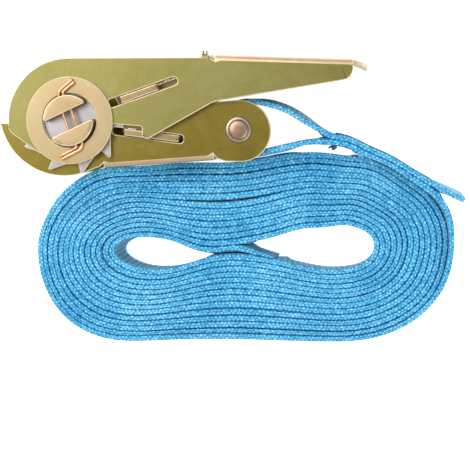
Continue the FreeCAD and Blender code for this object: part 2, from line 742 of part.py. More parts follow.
def make_webbing_hank():
    """The rest of the strap, wound on its edge into a flat oblong with two gaps in the middle."""
    curve = Part.BSplineCurve()
    curve.interpolate(Points=[Vector(x, y, 0) for x, y in HANK_OUTLINE], PeriodicFlag=True)
    left_gap = [
        (14.8, -52.2, 0.6), (24.0, -46.9, 8.0), (36.0, -47.6, 12.0), (52.0, -55.0, 0.6),
        (38.0, -57.0, 14.0), (25.0, -57.6, 6.0),
    ]
    right_gap = [
        (71.5, -50.6, 0.6), (86.0, -46.6, 20.0), (101.0, -40.6, 12.0), (113.5, -41.3, 5.0),
        (118.4, -49.6, 4.0), (110.0, -57.2, 8.0), (88.0, -55.9, 20.0),
    ]
    face = Part.Face(Part.Wire(curve.toShape()))
    for gap in (left_gap, right_gap):
        face = face.cut(Part.Face(Part.Wire([c.toShape() for c in rounded_outline(gap)])))
    solid = face.extrude(Vector(0, 0, size("strap_width")))
    swept = Part.makeCylinder(HANDLE_SWEEP_RADIUS, HANDLE_SWEEP_TOP)
    solid = solid.cut(swept)
    feature = doc.addObject("Part::Feature", "webbing_hank")
    feature.Label = "webbing_hank"
    feature.Shape = solid.Solids[0]
    feature.Placement = Placement(Vector(size("axle_x"), size("axle_y"), 0), Rotation())
    sub_parts.append(feature)


make_frame()
make_anchor_pin()
make_anchor_pin_washers()
make_lock_spring_seat()
make_spring("lock_spring", size("pawl_rest_radius") + LOCK_PAWL_LENGTH, LOCK_SEAT_START,
            "lock_turn", "lock_offset")
make_handle()
make_drive_spring_bracket()
make_spring("drive_spring", size("pawl_rest_radius") + DRIVE_LUG_LENGTH, DRIVE_SEAT_START,
            "drive_turn", "drive_offset")
make_drive_pawl()
make_lock_pawl()
make_mandrel_half("mandrel_half_upper", 0)
make_mandrel_half("mandrel_half_lower", 180)
for name, side in (("near", 1), ("far", -1)):
    make_ratchet_wheel(name, side)
    make_cotter_pin(name, side)
    make_washer(name, side)
make_webbing_loop()
make_webbing_lap()
make_webbing_stitches()
make_webbing_hank()

doc.recompute()
for item in doc.Objects:
    if "Invalid" in item.State or "Error" in item.State:
        raise RuntimeError(f"{item.Name} failed: {item.State}")
os.makedirs("parts", exist_ok=True)
for item in sub_parts:
    shape = item.Shape
    if shape.isNull() or not shape.isValid():
        raise RuntimeError(f"{item.Label} has no valid shape")
    shape.exportStep(os.path.join("parts", f"{item.Label}.step"))
    box = shape.BoundBox
    print(f"{item.Label}: {shape.Volume:.0f} mm3, {len(shape.Solids)} solids, "
          f"x {box.XMin:.1f}..{box.XMax:.1f}, y {box.YMin:.1f}..{box.YMax:.1f}, "
          f"z {box.ZMin:.1f}..{box.ZMax:.1f}")
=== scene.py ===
from math import atan2, ceil, cos, pi, radians, sin, sqrt, tan, tau

import bmesh
import bpy
import numpy as np
from mathutils import Matrix, Vector, kdtree
from mathutils.geometry import delaunay_2d_cdt


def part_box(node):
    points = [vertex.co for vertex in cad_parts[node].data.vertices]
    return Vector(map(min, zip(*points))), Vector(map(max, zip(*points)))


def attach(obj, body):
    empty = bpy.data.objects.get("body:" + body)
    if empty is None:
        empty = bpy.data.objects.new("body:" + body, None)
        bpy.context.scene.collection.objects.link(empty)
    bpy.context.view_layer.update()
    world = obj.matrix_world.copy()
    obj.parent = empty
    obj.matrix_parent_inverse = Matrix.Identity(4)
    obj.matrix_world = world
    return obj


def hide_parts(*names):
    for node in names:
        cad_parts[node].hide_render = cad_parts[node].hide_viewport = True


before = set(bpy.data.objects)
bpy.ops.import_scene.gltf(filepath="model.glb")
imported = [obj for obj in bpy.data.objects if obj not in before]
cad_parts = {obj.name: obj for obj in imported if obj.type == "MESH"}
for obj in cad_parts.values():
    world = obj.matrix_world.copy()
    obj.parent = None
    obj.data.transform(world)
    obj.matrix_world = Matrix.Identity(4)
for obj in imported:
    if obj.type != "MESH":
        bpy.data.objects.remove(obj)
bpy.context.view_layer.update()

# Ratchet tie-down with its strap wound into a flat hank. Plan positions are in millimetres
# from the ratchet's axle, and heights are in millimetres above the floor.

MM = 0.001


def middle(node):
    """Centre of a CAD node's box, in millimetres."""
    low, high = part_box(node)
    return (low + high) / 2 / MM


AXLE = middle("washer_near")
MIDDLE = middle("handle").z

# --- curves and meshes


def spline(points, step):
    """Points at even steps along the natural cubic spline through points; also their distances."""
    p = np.asarray(points, float)
    t = np.concatenate([[0], np.cumsum(np.linalg.norm(np.diff(p[:, :2], axis=0), axis=1) ** 0.75)])
    h = np.diff(t)
    n = len(p)
    matrix = np.zeros((n, n))
    right = np.zeros_like(p)
    matrix[0, 0] = matrix[-1, -1] = 1
    for i in range(1, n - 1):
        matrix[i, i - 1:i + 2] = h[i - 1], 2 * (h[i - 1] + h[i]), h[i]
        right[i] = 6 * ((p[i + 1] - p[i]) / h[i] - (p[i] - p[i - 1]) / h[i - 1])
    bend = np.linalg.solve(matrix, right)
    b = np.linspace(0, 1, 24, endpoint=False)[:, None]
    a = 1 - b
    runs = [
        a * p[i] + b * p[i + 1] + h[i] ** 2 / 6 * ((a**3 - a) * bend[i] + (b**3 - b) * bend[i + 1])
        for i in range(n - 1)
    ]
    fine = np.vstack(runs + [p[-1:]])
    far = np.concatenate([[0], np.cumsum(np.linalg.norm(np.diff(fine[:, :2], axis=0), axis=1))])
    at = np.linspace(0, far[-1], int(far[-1] / step) + 1)
    return np.stack([np.interp(at, far, fine[:, j]) for j in range(p.shape[1])], 1), at


def wander(at, pitch, seed):
    """Smooth random curve from about -1 to 1, with a new random value at each pitch."""
    count = int(at[-1] / pitch) + 4
    values = np.random.default_rng(seed).uniform(-1, 1, count)
    x = at / pitch
    i = x.astype(int)
    f = x - i
    f = f * f * (3 - 2 * f)
    return values[i] * (1 - f) + values[i + 1] * f


def ease(x):
    """Smooth rise from 0 to 1 as x goes from 0 to 1."""
    x = np.clip(x, 0, 1)
    return x * x * (3 - 2 * x)


def unit_normals(line):
    """Directions to the left of a line's points."""
    run = np.gradient(line, axis=0)
    run /= np.linalg.norm(run, axis=1)[:, None]
    return np.stack([-run[:, 1], run[:, 0]], 1)


def direction(path, i):
    return (path[min(i + 1, len(path) - 1)] - path[max(i - 1, 0)]).normalized()


def tube_faces(rows, around):
    """Faces of a closed tube whose points come in rows of around, with a cap at each end."""
    faces = [(r * around + j, r * around + (j + 1) % around, (r + 1) * around + (j + 1) % around,
              (r + 1) * around + j) for r in range(rows - 1) for j in range(around)]
    return faces + [range(around)[::-1], range((rows - 1) * around, rows * around)]


def new_object(name, data):
    obj = bpy.data.objects.new(name, data)
    bpy.context.scene.collection.objects.link(obj)
    return obj


def mesh_object(name, vertices, faces, materials, smooth_angle=35, slots=None):
    """Mesh piece from vertices in millimetres relative to the axle in plan."""
    points = np.asarray(vertices, float) + np.array([AXLE.x, AXLE.y, 0])
    mesh = bpy.data.meshes.new(name)
    mesh.from_pydata((points * MM).tolist(), [], faces)
    for material in materials:
        mesh.materials.append(material)
    if slots:
        mesh.polygons.foreach_set("material_index", slots)
    mend(mesh, smooth_angle)
    return new_object(name, mesh)


def mend(mesh, smooth_angle):
    """Joins points that lie together, turns the faces outwards and shades them smoothly."""
    edit = bmesh.new()
    edit.from_mesh(mesh)
    bmesh.ops.remove_doubles(edit, verts=edit.verts, dist=0.002 * MM)
    bmesh.ops.recalc_face_normals(edit, faces=edit.faces)
    edit.to_mesh(mesh)
    edit.free()
    mesh.shade_smooth()
    mesh.set_sharp_from_angle(angle=radians(smooth_angle))


def even_normals(obj):
    """Keeps flat faces flat where they meet rounded edges."""
    modifier = obj.modifiers.new("even_normals", "WEIGHTED_NORMAL")
    modifier.keep_sharp = True


# --- material tools


class Paint:
    """A node material, built with short calls."""

    def __init__(self, name):
        self.material = bpy.data.materials.new(name)
        self.material.use_nodes = True
        self.tree = self.material.node_tree
        self.shader = self.tree.nodes["Principled BSDF"]

    def node(self, kind, inputs=None, **settings):
        made = self.tree.nodes.new("ShaderNode" + kind)
        for name, value in settings.items():
            setattr(made, name, value)
        for name, value in (inputs or {}).items():
            self.feed(made.inputs[name], value)
        return made

    def feed(self, socket, value):
        if isinstance(value, bpy.types.NodeSocket):
            self.tree.links.new(value, socket)
        else:
            socket.default_value = value

    def math(self, operation, a, b=0.0, c=0.0):
        return self.node("Math", {0: a, 1: b, 2: c}, operation=operation).outputs[0]

    def times(self, a, b):
        return self.math("MULTIPLY", a, b)

    def times_plus(self, a, b, c):
        return self.math("MULTIPLY_ADD", a, b, c)

    def plus(self, a, b):
        return self.math("ADD", a, b)

    def sine(self, a):
        return self.math("SINE", a)

    def place(self):
        return self.node("TexCoord").outputs["Object"]

    def stretched(self, scale):
        return self.node("Mapping", {"Vector": self.place(), "Scale": scale}).outputs[0]

    def noise(self, scale, detail=3.0, vector=None, roughness=0.55):
        inputs = {"Vector": vector or self.place(), "Scale": scale, "Detail": detail,
                  "Roughness": roughness}
        return self.node("TexNoise", inputs).outputs[0]

    def ramp(self, factor, *stops):
        made = self.node("ValToRGB", {"Fac": factor})
        elements = made.color_ramp.elements
        while len(elements) < len(stops):
            elements.new(0.5)
        for element, (position, colour) in zip(elements, stops):
            element.position = position
            element.color = (*colour, 1)
        return made.outputs[0]

    def mix(self, factor, a, b):
        return self.node("Mix", {0: factor, 6: a, 7: b}, data_type="RGBA").outputs[2]

    def spread(self, value, low, high, to_low, to_high):
        made = self.node("MapRange", {"Value": value, "From Min": low, "From Max": high,
                                      "To Min": to_low, "To Max": to_high})
        return made.outputs[0]

    def bump(self, height, strength, distance):
        inputs = {"Height": height, "Strength": strength, "Distance": distance}
        return self.node("Bump", inputs).outputs[0]

    def finish(self, **sockets):
        for name, value in sockets.items():
            self.feed(self.shader.inputs[name.replace("_", " ")], value)
        return self.material


# --- metal finishes


def plated_steel(name, tones, grain, roughness=0.36, pits=0.5, metallic=1.0):
    """Passivated plating: clouds of tint, faint rolling lines along grain, pits and rubbed specks.

    tones go from the darker tint to the paler one; grain is the noise scale along each axis."""
    p = Paint(name)
    clouds = p.noise(34.0, 2.0)
    patches = p.noise(210.0, 3.0)
    tone = p.times_plus(patches, 0.42, p.times(clouds, 0.62))
    stops = [(0.30 + 0.42 * i / (len(tones) - 1), colour) for i, colour in enumerate(tones)]
    base = p.ramp(tone, *stops)
    lines = p.noise(1.0, 3.0, vector=p.stretched(grain))
    rolled = p.mix(p.spread(lines, 0.35, 0.7, 0.0, 0.16), base, (*tones[-1], 1))
    speck = p.spread(p.noise(1500.0, 1.0), 0.68, 0.76, 0.0, 0.45)
    colour = p.mix(speck, rolled, (*[0.45 * c for c in tones[0]], 1))
    rub = p.spread(p.noise(75.0, 4.0, roughness=0.7), 0.62, 0.72, 0.0, 0.35)
    colour = p.mix(rub, colour, (*[min(1.0, 1.12 * c + 0.03) for c in tones[-1]], 1))
    gloss = p.times_plus(patches, 0.16, p.times_plus(lines, 0.08, roughness - 0.12))
    height = p.times_plus(lines, 0.5, p.times_plus(speck, -pits, patches))
    normal = p.bump(height, 0.35, 0.00006)
    return p.finish(Base_Color=colour, Metallic=metallic, Roughness=gloss, Normal=normal)


def drawn_wire(name, tones, roughness=0.3):
    """Drawn wire or turned bar: fine marks, small patches of tint and stains."""
    p = Paint(name)
    patches = p.noise(420.0, 3.0)
    marks = p.noise(2400.0, 2.0)
    tone = p.times_plus(marks, 0.35, p.times(patches, 0.7))
    colour = p.ramp(tone, *[(0.32 + 0.4 * i / (len(tones) - 1), c) for i, c in enumerate(tones)])
    gloss = p.times_plus(marks, 0.2, roughness - 0.08)
    normal = p.bump(p.times_plus(marks, 0.6, patches), 0.3, 0.00005)
    return p.finish(Base_Color=colour, Metallic=1.0, Roughness=gloss, Normal=normal)


def make_finishes():
    along = (25.0, 900.0, 900.0)
    every = (300.0, 300.0, 300.0)
    return {
        "handle": plated_steel("zinc_handle_plating", [
            (0.202, 0.188, 0.054), (0.234, 0.213, 0.067), (0.256, 0.226, 0.092)], along),
        "frame": plated_steel("zinc_frame_plating", [
            (0.164, 0.124, 0.021), (0.192, 0.145, 0.028), (0.228, 0.166, 0.046)], along),
        # Pale cream edge finish: a painted highlight along every cut and rounded edge.
        "edge": plated_steel("pale_edge_painted_highlight", [
            (0.62, 0.5, 0.28), (0.7, 0.59, 0.37), (0.78, 0.69, 0.5)],
            every, 0.32, metallic=0.3),
        # Pale bend finish: a painted reflection of the brighter surroundings on the curved bends.
        "bend": plated_steel("bend_painted_reflection", [
            (0.48, 0.36, 0.2), (0.6, 0.44, 0.28), (0.68, 0.52, 0.36)], along, 0.42),
        "pawl": plated_steel("zinc_pawl_plating", [
            (0.23, 0.155, 0.068), (0.295, 0.208, 0.098), (0.36, 0.278, 0.148)], every),
        "washer": plated_steel("zinc_washer_plating", [
            (0.36, 0.265, 0.14), (0.395, 0.3, 0.16), (0.42, 0.325, 0.185)], along, pits=0.3),
        "mandrel": plated_steel("zinc_mandrel_plating", [
            (0.37, 0.255, 0.13), (0.4, 0.285, 0.15), (0.43, 0.315, 0.185)],
            (700.0, 700.0, 30.0), pits=0.3),
        "wheel": plated_steel("wheel_grey_plating", [
            (0.3, 0.28, 0.29), (0.37, 0.345, 0.35), (0.44, 0.405, 0.395)], along),
        "copper": drawn_wire("copper_pin_skin", [
            (0.29, 0.172, 0.108), (0.34, 0.212, 0.138), (0.39, 0.262, 0.178)]),
        "cotter": drawn_wire("cotter_wire_skin", [
            (0.62, 0.3, 0.15), (0.76, 0.41, 0.225), (0.9, 0.62, 0.4)]),
        "ring": drawn_wire("rivet_ring_skin", [
            (0.27, 0.23, 0.2), (0.34, 0.29, 0.25), (0.42, 0.36, 0.3)]),
        "spring": drawn_wire("spring_wire_skin", [
            (0.16, 0.14, 0.12), (0.28, 0.25, 0.21), (0.5, 0.45, 0.38)]),
    }


# --- plan shapes


def edges_of(loop):
    return zip(loop, loop[1:] + loop[:1])


def quarter(steps):
    """Angles at even steps through a quarter turn."""
    return [pi / 2 * k / steps for k in range(steps + 1)]


def rounded(corners, spacing=2.5, arc_step=0.5):
    """Closed loop of points through (x, y, radius) corners, with tangent arcs at the corners."""
    points = [Vector((x, y)) for x, y, _ in corners]
    loop = []
    for i, (_, _, radius) in enumerate(corners):
        corner = points[i]
        before = (points[i - 1] - corner).normalized()
        after = (points[(i + 1) % len(points)] - corner).normalized()
        half = before.angle(after) / 2
        if radius <= 0 or half > pi / 2 - 0.01:
            loop.append(corner)
            continue
        reach = radius / tan(half)
        centre = corner + (before + after).normalized() * radius / sin(half)
        start, end = corner + before * reach - centre, corner + after * reach - centre
        sweep = start.angle_signed(end)
        steps = max(3, int(abs(sweep) * radius / arc_step) + 1)
        for k in range(steps + 1):
            turn = Matrix.Rotation(-sweep * k / steps, 2)
            loop.append(centre + turn @ start)
    dense = []
    for a, b in edges_of(loop):
        if (b - a).length < 1e-4:
            continue
        steps = max(1, ceil((b - a).length / spacing))
        dense += [a + (b - a) * k / steps for k in range(steps)]
    return dense


def ring(radius, centre=(0.0, 0.0), count=96):
    return [Vector((centre[0] + radius * cos(tau * k / count),
                    centre[1] + radius * sin(tau * k / count))) for k in range(count)]


def turned(corners, degrees, shift):
    """Corners moved by shift along Y and then turned about the axle."""
    c, s = cos(radians(degrees)), sin(radians(degrees))
    return [(x * c - (y + shift) * s, x * s + (y + shift) * c, *rest) for x, y, *rest in corners]


def facing(loop, hole=False):
    """The loop, anticlockwise round material or clockwise round a hole."""
    area = sum(a.x * b.y - b.x * a.y for a, b in edges_of(loop))
    return loop[::-1] if (area < 0) != hole else loop


def inset(loop, distance):
    """The loop moved into the material, which lies on its left."""
    moved = []
    for i, point in enumerate(loop):
        a = (point - loop[i - 1]).normalized()
        b = (loop[(i + 1) % len(loop)] - point).normalized()
        left = Vector((-a.y - b.y, a.x + b.x)).normalized()
        scale = max(0.5, left.dot(Vector((-b.y, b.x))))
        moved.append(point + left * distance / scale)
    return moved


def inside(point, loops):
    """Whether a ray from the point along X crosses the loops an odd number of times."""
    odd = False
    for loop in loops:
        for a, b in edges_of(loop):
            if (a.y > point.y) != (b.y > point.y):
                if point.x < a.x + (point.y - a.y) / (b.y - a.y) * (b.x - a.x):
                    odd = not odd
    return odd


def fill(loops):
    """Triangles between an outline and its holes, as numbers into the loops laid end to end."""
    points = [p for loop in loops for p in loop]
    edges, first = [], 0
    for loop in loops:
        edges += [(first + i, first + (i + 1) % len(loop)) for i in range(len(loop))]
        first += len(loop)
    out, _, faces, originals, _, _ = delaunay_2d_cdt(points, edges, [], 0, 1e-5)
    kept = []
    for face in faces:
        centre = sum((out[i] for i in face), Vector((0, 0))) / len(face)
        if inside(centre, loops):
            kept.append([originals[i][0] for i in face])
    return kept


class Shape:
    """Points in millimetres and faces that several parts of one piece are gathered in."""

    def __init__(self):
        self.points, self.faces, self.slots = [], [], []

    def add(self, points, faces, slot=0):
        first = len(self.points)
        self.points += [tuple(p) for p in points]
        self.faces += [[first + i for i in face] for face in faces]
        self.slots += [slot] * len(faces)

    def plate(self, outline, holes, low, high, bevel, place):
        """Flat plate with holes and rounded edges; place turns (x, y, z) into the model."""
        steps = 3
        loops = [facing(outline)] + [facing(h, hole=True) for h in holes]
        levels = [(bevel * (1 - sin(a)), bevel * (1 - cos(a))) for a in quarter(steps)]
        rows = [(i, high - d) for i, d in levels] + [(i, low + d) for i, d in levels[::-1]]
        for loop in loops:
            rings = [[place(p.x, p.y, z) for p in inset(loop, i)] for i, z in rows]
            n = len(loop)
            for r in range(len(rows) - 1):
                # The rounded rows take the edge finish, with its painted highlight.
                slot = 0 if r == steps else EDGE_SLOT
                self.add(rings[r] + rings[r + 1],
                         [(j, n + j, n + (j + 1) % n, (j + 1) % n) for j in range(n)], slot)
        caps = [inset(loop, bevel) for loop in loops]
        triangles = fill(caps)
        flat = [p for loop in caps for p in loop]
        self.add([place(p.x, p.y, high) for p in flat], triangles)
        self.add([place(p.x, p.y, low) for p in flat], [t[::-1] for t in triangles])

    def lathe(self, profile, centre, count):
        """Surface of (radius, height) points turned about a vertical line through centre."""
        closed = profile[0] == profile[-1]
        rows = profile[:-1] if closed else profile
        points = []
        for radius, height in rows:
            points += [(p.x, p.y, height) for p in ring(radius, centre, count)]
        faces = []
        for r in range(len(rows) if closed else len(rows) - 1):
            a, b = r * count, (r + 1) % len(rows) * count
            faces += [(a + j, b + j, b + (j + 1) % count, a + (j + 1) % count)
                      for j in range(count)]
        if not closed:
            faces += [range(count), range((len(rows) - 1) * count, len(rows) * count)[::-1]]
        self.add(points, faces)

    def tube(self, path, radius, sides):
        """Round wire along a path, with rounded ends."""
        path = [Vector(p) for p in path]
        normal = None
        rings = []
        for i, point in enumerate(path):
            along = direction(path, i)
            if normal is None:
                normal = along.orthogonal().normalized()
            normal = (normal - along * normal.dot(along)).normalized()
            side = along.cross(normal)
            shares = [(0.0, 1.0)]
            if i == 0:
                shares = [(-0.9, 0.25), (-0.65, 0.75)] + shares
            if i == len(path) - 1:
                shares += [(0.65, 0.75), (0.9, 0.25)]
            for ahead, size in shares:
                rings.append([point + along * (ahead * radius)
                              + (normal * cos(tau * k / sides)
                                 + side * sin(tau * k / sides)) * (size * radius)
                              for k in range(sides)])
        self.add([p for one in rings for p in one], tube_faces(len(rings), sides))

    def build(self, name, materials, body, node, smooth_angle=35):
        """The finished piece, which moves with a body and takes a CAD node's place."""
        obj = mesh_object(name, self.points, self.faces, materials, smooth_angle, self.slots)
        even_normals(obj)
        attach(obj, body)
        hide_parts(node)
        return obj


# --- frame and handle

# Distances from the ratchet's middle, along the axle.
FRAME_OUTSIDE = 15.1
HANDLE_OUTSIDE = 19.4
MANDREL_END = 23.6
WHEEL_INSIDE, WHEEL_OUTSIDE = 15.25, 17.65
WASHER_INSIDE, WASHER_OUTSIDE = 19.5, 20.5
COTTER_HEIGHT = 21.5
SIDES = (("near", 1), ("far", -1))
# Folded sheet, the rounding of its cut edges, and the levels that its web is divided at.
PLATE = 1.6
CUT_EDGE = 0.36
WEB_LEVELS = (14.0, 9.0, 4.5, 0.0, -4.5, -9.0, -14.0)
# Material slots for the edges and the bends, whose finishes are painted highlight and painted
# reflection.
EDGE_SLOT, BEND_SLOT = 1, 2
AXLE_HOLE = 10.3
PIN = Vector((65.2, -3.6))
PIN_RADIUS = 3.8
# Turn of each pawl's slot about the axle, and the slot's distance from the line through it.
DRIVE = (19.3, 0.85)
LOCK = (-7.4, -1.7)
# Distances from the axle along a pawl's travel.
NOSE = 21.25
HEEL, LOCK_TAIL = NOSE + 15.4, NOSE + 21.4
DRIVE_SEAT, LOCK_SEAT = 46.2, 52.0
SLOT_INNER_END, DRIVE_SLOT_END, LOCK_SLOT_END = 16.2, 44.6, 44.3
PAWL_THICKNESS = 2.6
PILOT_RADIUS = 1.3
SPRING_WIRE, SPRING_RADIUS, SPRING_TURNS = 0.36, 2.6, 7
# Room in front of each spring, because the pawls can be pulled back past where they rest.
SPRING_PLAY = 0.85
MANDREL_RADIUS, MANDREL_FLAT = 9.8, 3.4
HALVES = (("upper", 25.0), ("lower", 205.0))
TOOTH_TIP, TOOTH_ROOT, TEETH, FIRST_TOOTH = 20.9, 16.4, 10, -8.1
WASHER_RADIUS, WASHER_HOLE = 16.9, 10.6


def slot_loop(end, turn, offset):
    half = PAWL_THICKNESS / 2 + 0.3
    corners = [(SLOT_INNER_END, -half), (end, -half), (end, half), (SLOT_INNER_END, half)]
    return rounded([(x, y, half * 0.9) for x, y in turned(corners, turn, offset)])


def add_sides(mesh, loops, outer, short):
    """Upper and lower side, as flat faces; short moves the outline of the lower one."""
    flat = [p for loop in loops for p in loop]
    triangles = fill(loops)
    for side in (1, -1):
        edge = loops[0] if side > 0 else [p + short(p) for p in loops[0]]
        corners = [mesh.verts.new((p.x, p.y, side * outer)) for p in edge + flat[len(edge):]]
        for triangle in triangles:
            mesh.faces.new([corners[i] for i in (triangle if side > 0 else triangle[::-1])])


def add_web(mesh, line, away, outer, bend, lip):
    """Web folded over from side to side at the points of a line, with rounded bends."""
    steps = 7
    arc = [(bend * sin(a), outer - bend * (1 - cos(a))) for a in quarter(steps)]
    section = arc + [(bend, z) for z in WEB_LEVELS if abs(z) < outer - bend - 0.5]
    section += [(d, -z) for d, z in arc[::-1]]
    rows = [[mesh.verts.new((p.x + away.x * d, p.y + away.y * d, z)) for d, z in section]
            for p in line]
    for a, b in zip(rows, rows[1:]):
        for j in range(len(section) - 1):
            face = mesh.faces.new((a[j], b[j], b[j + 1], a[j + 1]))
            if j < steps or j >= len(section) - 1 - steps:
                face.material_index = BEND_SLOT
    if lip:
        last = [v for v in rows[-1] if abs(v.co.z) <= WEB_LEVELS[0] + 0.1]
        widest = max(v.co.z for v in last)
        for x, y, half in lip:
            row = [mesh.verts.new((x, y, v.co.z / widest * half)) for v in last]
            for j in range(len(last) - 1):
                mesh.faces.new((last[j], row[j], row[j + 1], last[j + 1]))
            last = row


def folded_channel(part, materials, outline, holes, outer, bend, start, end, turn, short, lip=()):
    """The frame or handle, as a sheet with two sides joined by a web along the line start-end.

    The web is to the right of that line, or to the left if turn is -1. lip is a list of
    (x, y, half width) rows that carry the web on."""
    mesh = bmesh.new()
    loops = [facing(outline)] + [facing(h, hole=True) for h in holes]
    add_sides(mesh, loops, outer, short)
    run = (end - start).normalized()
    away = Vector((run.y, -run.x)) * turn
    on_web = [p for p in loops[0] if abs((p - start).dot(away)) < 0.02
              and -0.02 < (p - start).dot(run) < (end - start).length + 0.02]
    add_web(mesh, sorted(on_web, key=lambda p: (p - start).dot(run)), away, outer, bend, lip)
    bmesh.ops.remove_doubles(mesh, verts=mesh.verts, dist=0.003)
    bmesh.ops.recalc_face_normals(mesh, faces=mesh.faces)
    for vertex in mesh.verts:
        vertex.co = (vertex.co + Vector((AXLE.x, AXLE.y, MIDDLE))) * MM
    data = bpy.data.meshes.new(part + "_channel")
    mesh.to_mesh(data)
    mesh.free()
    data.shade_smooth()
    piece = new_object(part + "_channel", data)
    thicken(piece, materials)
    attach(piece, part)
    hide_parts(part)


def thicken(obj, materials):
    """Gives the folded sheet its thickness, inwards, and rounds its cut edges."""
    for material in materials:
        obj.data.materials.append(material)
    solid = obj.modifiers.new("solid", "SOLIDIFY")
    solid.thickness = PLATE * MM
    solid.offset = -1
    solid.use_even_offset = True
    solid.material_offset_rim = EDGE_SLOT
    soft = obj.modifiers.new("soft", "BEVEL")
    soft.width = CUT_EDGE * MM
    soft.segments = 2
    soft.limit_method = "ANGLE"
    soft.angle_limit = radians(50)
    # The rounded edges take the edge finish, with its painted highlight.
    soft.material = EDGE_SLOT
    soft.harden_normals = True
    soft.use_clamp_overlap = False
    even_normals(obj)


def round_corners(centre, radius, angles):
    """Corners whose tangent arcs make one round edge between the first and last of the angles."""
    corners = []
    for first, last in zip(angles, angles[1:]):
        middle_angle = radians((first + last) / 2)
        reach = radius / cos(radians((last - first) / 2))
        corners.append((centre[0] + reach * cos(middle_angle),
                        centre[1] + reach * sin(middle_angle), radius - 0.05))
    return corners


def frame_short(p):
    """Move of the anchor end of the frame's lower side, to hide it behind the upper one."""
    return Vector((-1.7 * max(0.0, p.x - 58.0) / 19.7, 0.0))


def handle_short(p):
    """Move of the lower edge of the handle's lower side, for the same reason."""
    reach = min(1.0, max(0.0, (p.x - 24.0) / 4.0)) if p.y < 17.0 else 0.0
    return Vector((-0.36, 1.25)) * reach


def make_frame(materials):
    bend = 2.0
    start = Vector((12.2, -18.6 + bend))
    end = Vector((55.6, -15.4 + bend))
    right, boss = PIN.x + 12.5, AXLE_HOLE + 5.2
    corners = [(-28.5, -1.0, 0.9)]
    corners += round_corners((-3.5, 3.5), 25.2, (193.0, 226.0, 259.0, 291.0))
    corners += [
        (10.9, -17.95, 0.6), (start.x, start.y, 0.0), (end.x, end.y, 0.0), (56.6, -14.7, 0.5),
        (60.0, -15.9, 4.0), (right, -16.2, 11.7), (right, PIN.y + 12.5, 12.0), (20.5, 4.2, 3.0),
        (15.1, 4.1, 1.0),
    ]
    corners += round_corners((0.0, 0.0), boss, (22.0, 97.0, 172.0))
    corners += [(-15.8, -1.0, 1.5)]
    holes = [ring(AXLE_HOLE), ring(PIN_RADIUS, PIN, 48), slot_loop(LOCK_SLOT_END, *LOCK)]
    folded_channel("frame", materials, rounded(corners), holes, FRAME_OUTSIDE, bend, start, end,
                   1, frame_short)


def make_handle(materials):
    bend = 2.3
    start = Vector((56.2, 25.2 - bend))
    end = Vector((109.2, 23.4 - bend))
    corners = [
        (-24.1, 24.1, 24.05), (-24.3, -4.0, 4.0), (-12.0, -12.8, 3.0), (6.0, -12.8, 8.0),
        (14.6, -1.2, 1.5), (28.0, -2.3, 0.5), (28.0, -8.5, 2.0), (56.0, 7.2, 8.0),
        (109.2, 15.9, 4.6), (end.x, end.y, 0.0), (start.x, start.y, 0.0),
        (54.2, 24.1, 0.5),
    ]
    holes = [ring(AXLE_HOLE), slot_loop(DRIVE_SLOT_END, *DRIVE)]
    lip = [(110.2, 23.2, 14.0), (111.4, 22.75, 14.0), (112.8, 22.2, 14.0), (114.0, 21.65, 13.7),
           (115.0, 21.15, 12.9), (115.6, 20.8, 11.6)]
    folded_channel("handle", materials, rounded(corners), holes, HANDLE_OUTSIDE, bend, start, end,
                   -1, handle_short, lip)


# --- smaller metal parts


def along_travel(turn, offset):
    """Places (travel, height, thickness) of a pawl, seat or spring in the model."""
    c, s = cos(radians(turn)), sin(radians(turn))
    return lambda u, h, v: (u * c - (v + offset) * s, u * s + (v + offset) * c, MIDDLE + h)


def upright(x, y, z):
    return (x, y, MIDDLE + z)


def mirrored(corners):
    return corners + [(x, -y, r) for x, y, r in reversed(corners)]


def make_pawls(materials):
    inner, outer = FRAME_OUTSIDE + 0.25, HANDLE_OUTSIDE - 0.05
    outline = mirrored([
        (NOSE + 10.5, inner, 0.8), (NOSE, inner, 0.5), (NOSE, outer, 0.5), (HEEL, outer, 0.8),
        (HEEL, 11.0, 2.0), (61.0, 11.0, 3.0),
    ])
    window = mirrored([(HEEL, 8.3, 1.2), (56.0, 8.3, 1.2)])
    drive = Shape()
    half = PAWL_THICKNESS / 2
    drive.plate(rounded(outline), [rounded(window)], -half, half, 0.35, along_travel(*DRIVE))
    drive.build("drive_pawl_plate", materials, "drive_pawl", "drive_pawl")
    lug_end = NOSE + 10.6
    outline = mirrored([
        (NOSE + 3.0, 12.5, 1.0), (NOSE, 12.5, 0.5), (NOSE, 17.6, 0.5), (lug_end, 17.6, 0.8),
        (lug_end, FRAME_OUTSIDE - 0.05, 0.0), (LOCK_TAIL, FRAME_OUTSIDE - 0.05, 0.8),
    ])
    lock = Shape()
    lock.plate(rounded(outline), [], -half, half, 0.35, along_travel(*LOCK))
    lock.build("lock_pawl_plate", materials, "lock_pawl", "lock_pawl")


def helix(start, end, radius, turns, place):
    """Coil whose end turns lie close together."""
    points = []
    for share in np.arange(turns * 20 + 1) / (turns * 20):
        travel = share - 0.09 * sin(tau * share)
        angle = tau * turns * share
        points.append(place(start + (end - start) * travel, radius * cos(angle),
                            radius * sin(angle)))
    return points


def make_springs(material):
    """The coils start clear of the pawls, which can be pulled further back than at rest."""
    for name, start, end, slide, body in (
        ("drive_spring", HEEL, DRIVE_SEAT, DRIVE, "handle"),
        ("lock_spring", LOCK_TAIL, LOCK_SEAT, LOCK, "frame"),
    ):
        coil = Shape()
        path = helix(start + SPRING_WIRE + SPRING_PLAY, end - SPRING_WIRE,
                     SPRING_RADIUS - SPRING_WIRE, SPRING_TURNS, along_travel(*slide))
        coil.tube(path, SPRING_WIRE, 10)
        coil.build(name + "_coil", [material], body, name)


def add_pilot(shape, place, start, end):
    """Round peg that a spring sits on."""
    shape.tube([place(u, 0.0, 0.0) for u in np.linspace(start, end, 10)], PILOT_RADIUS, 24)


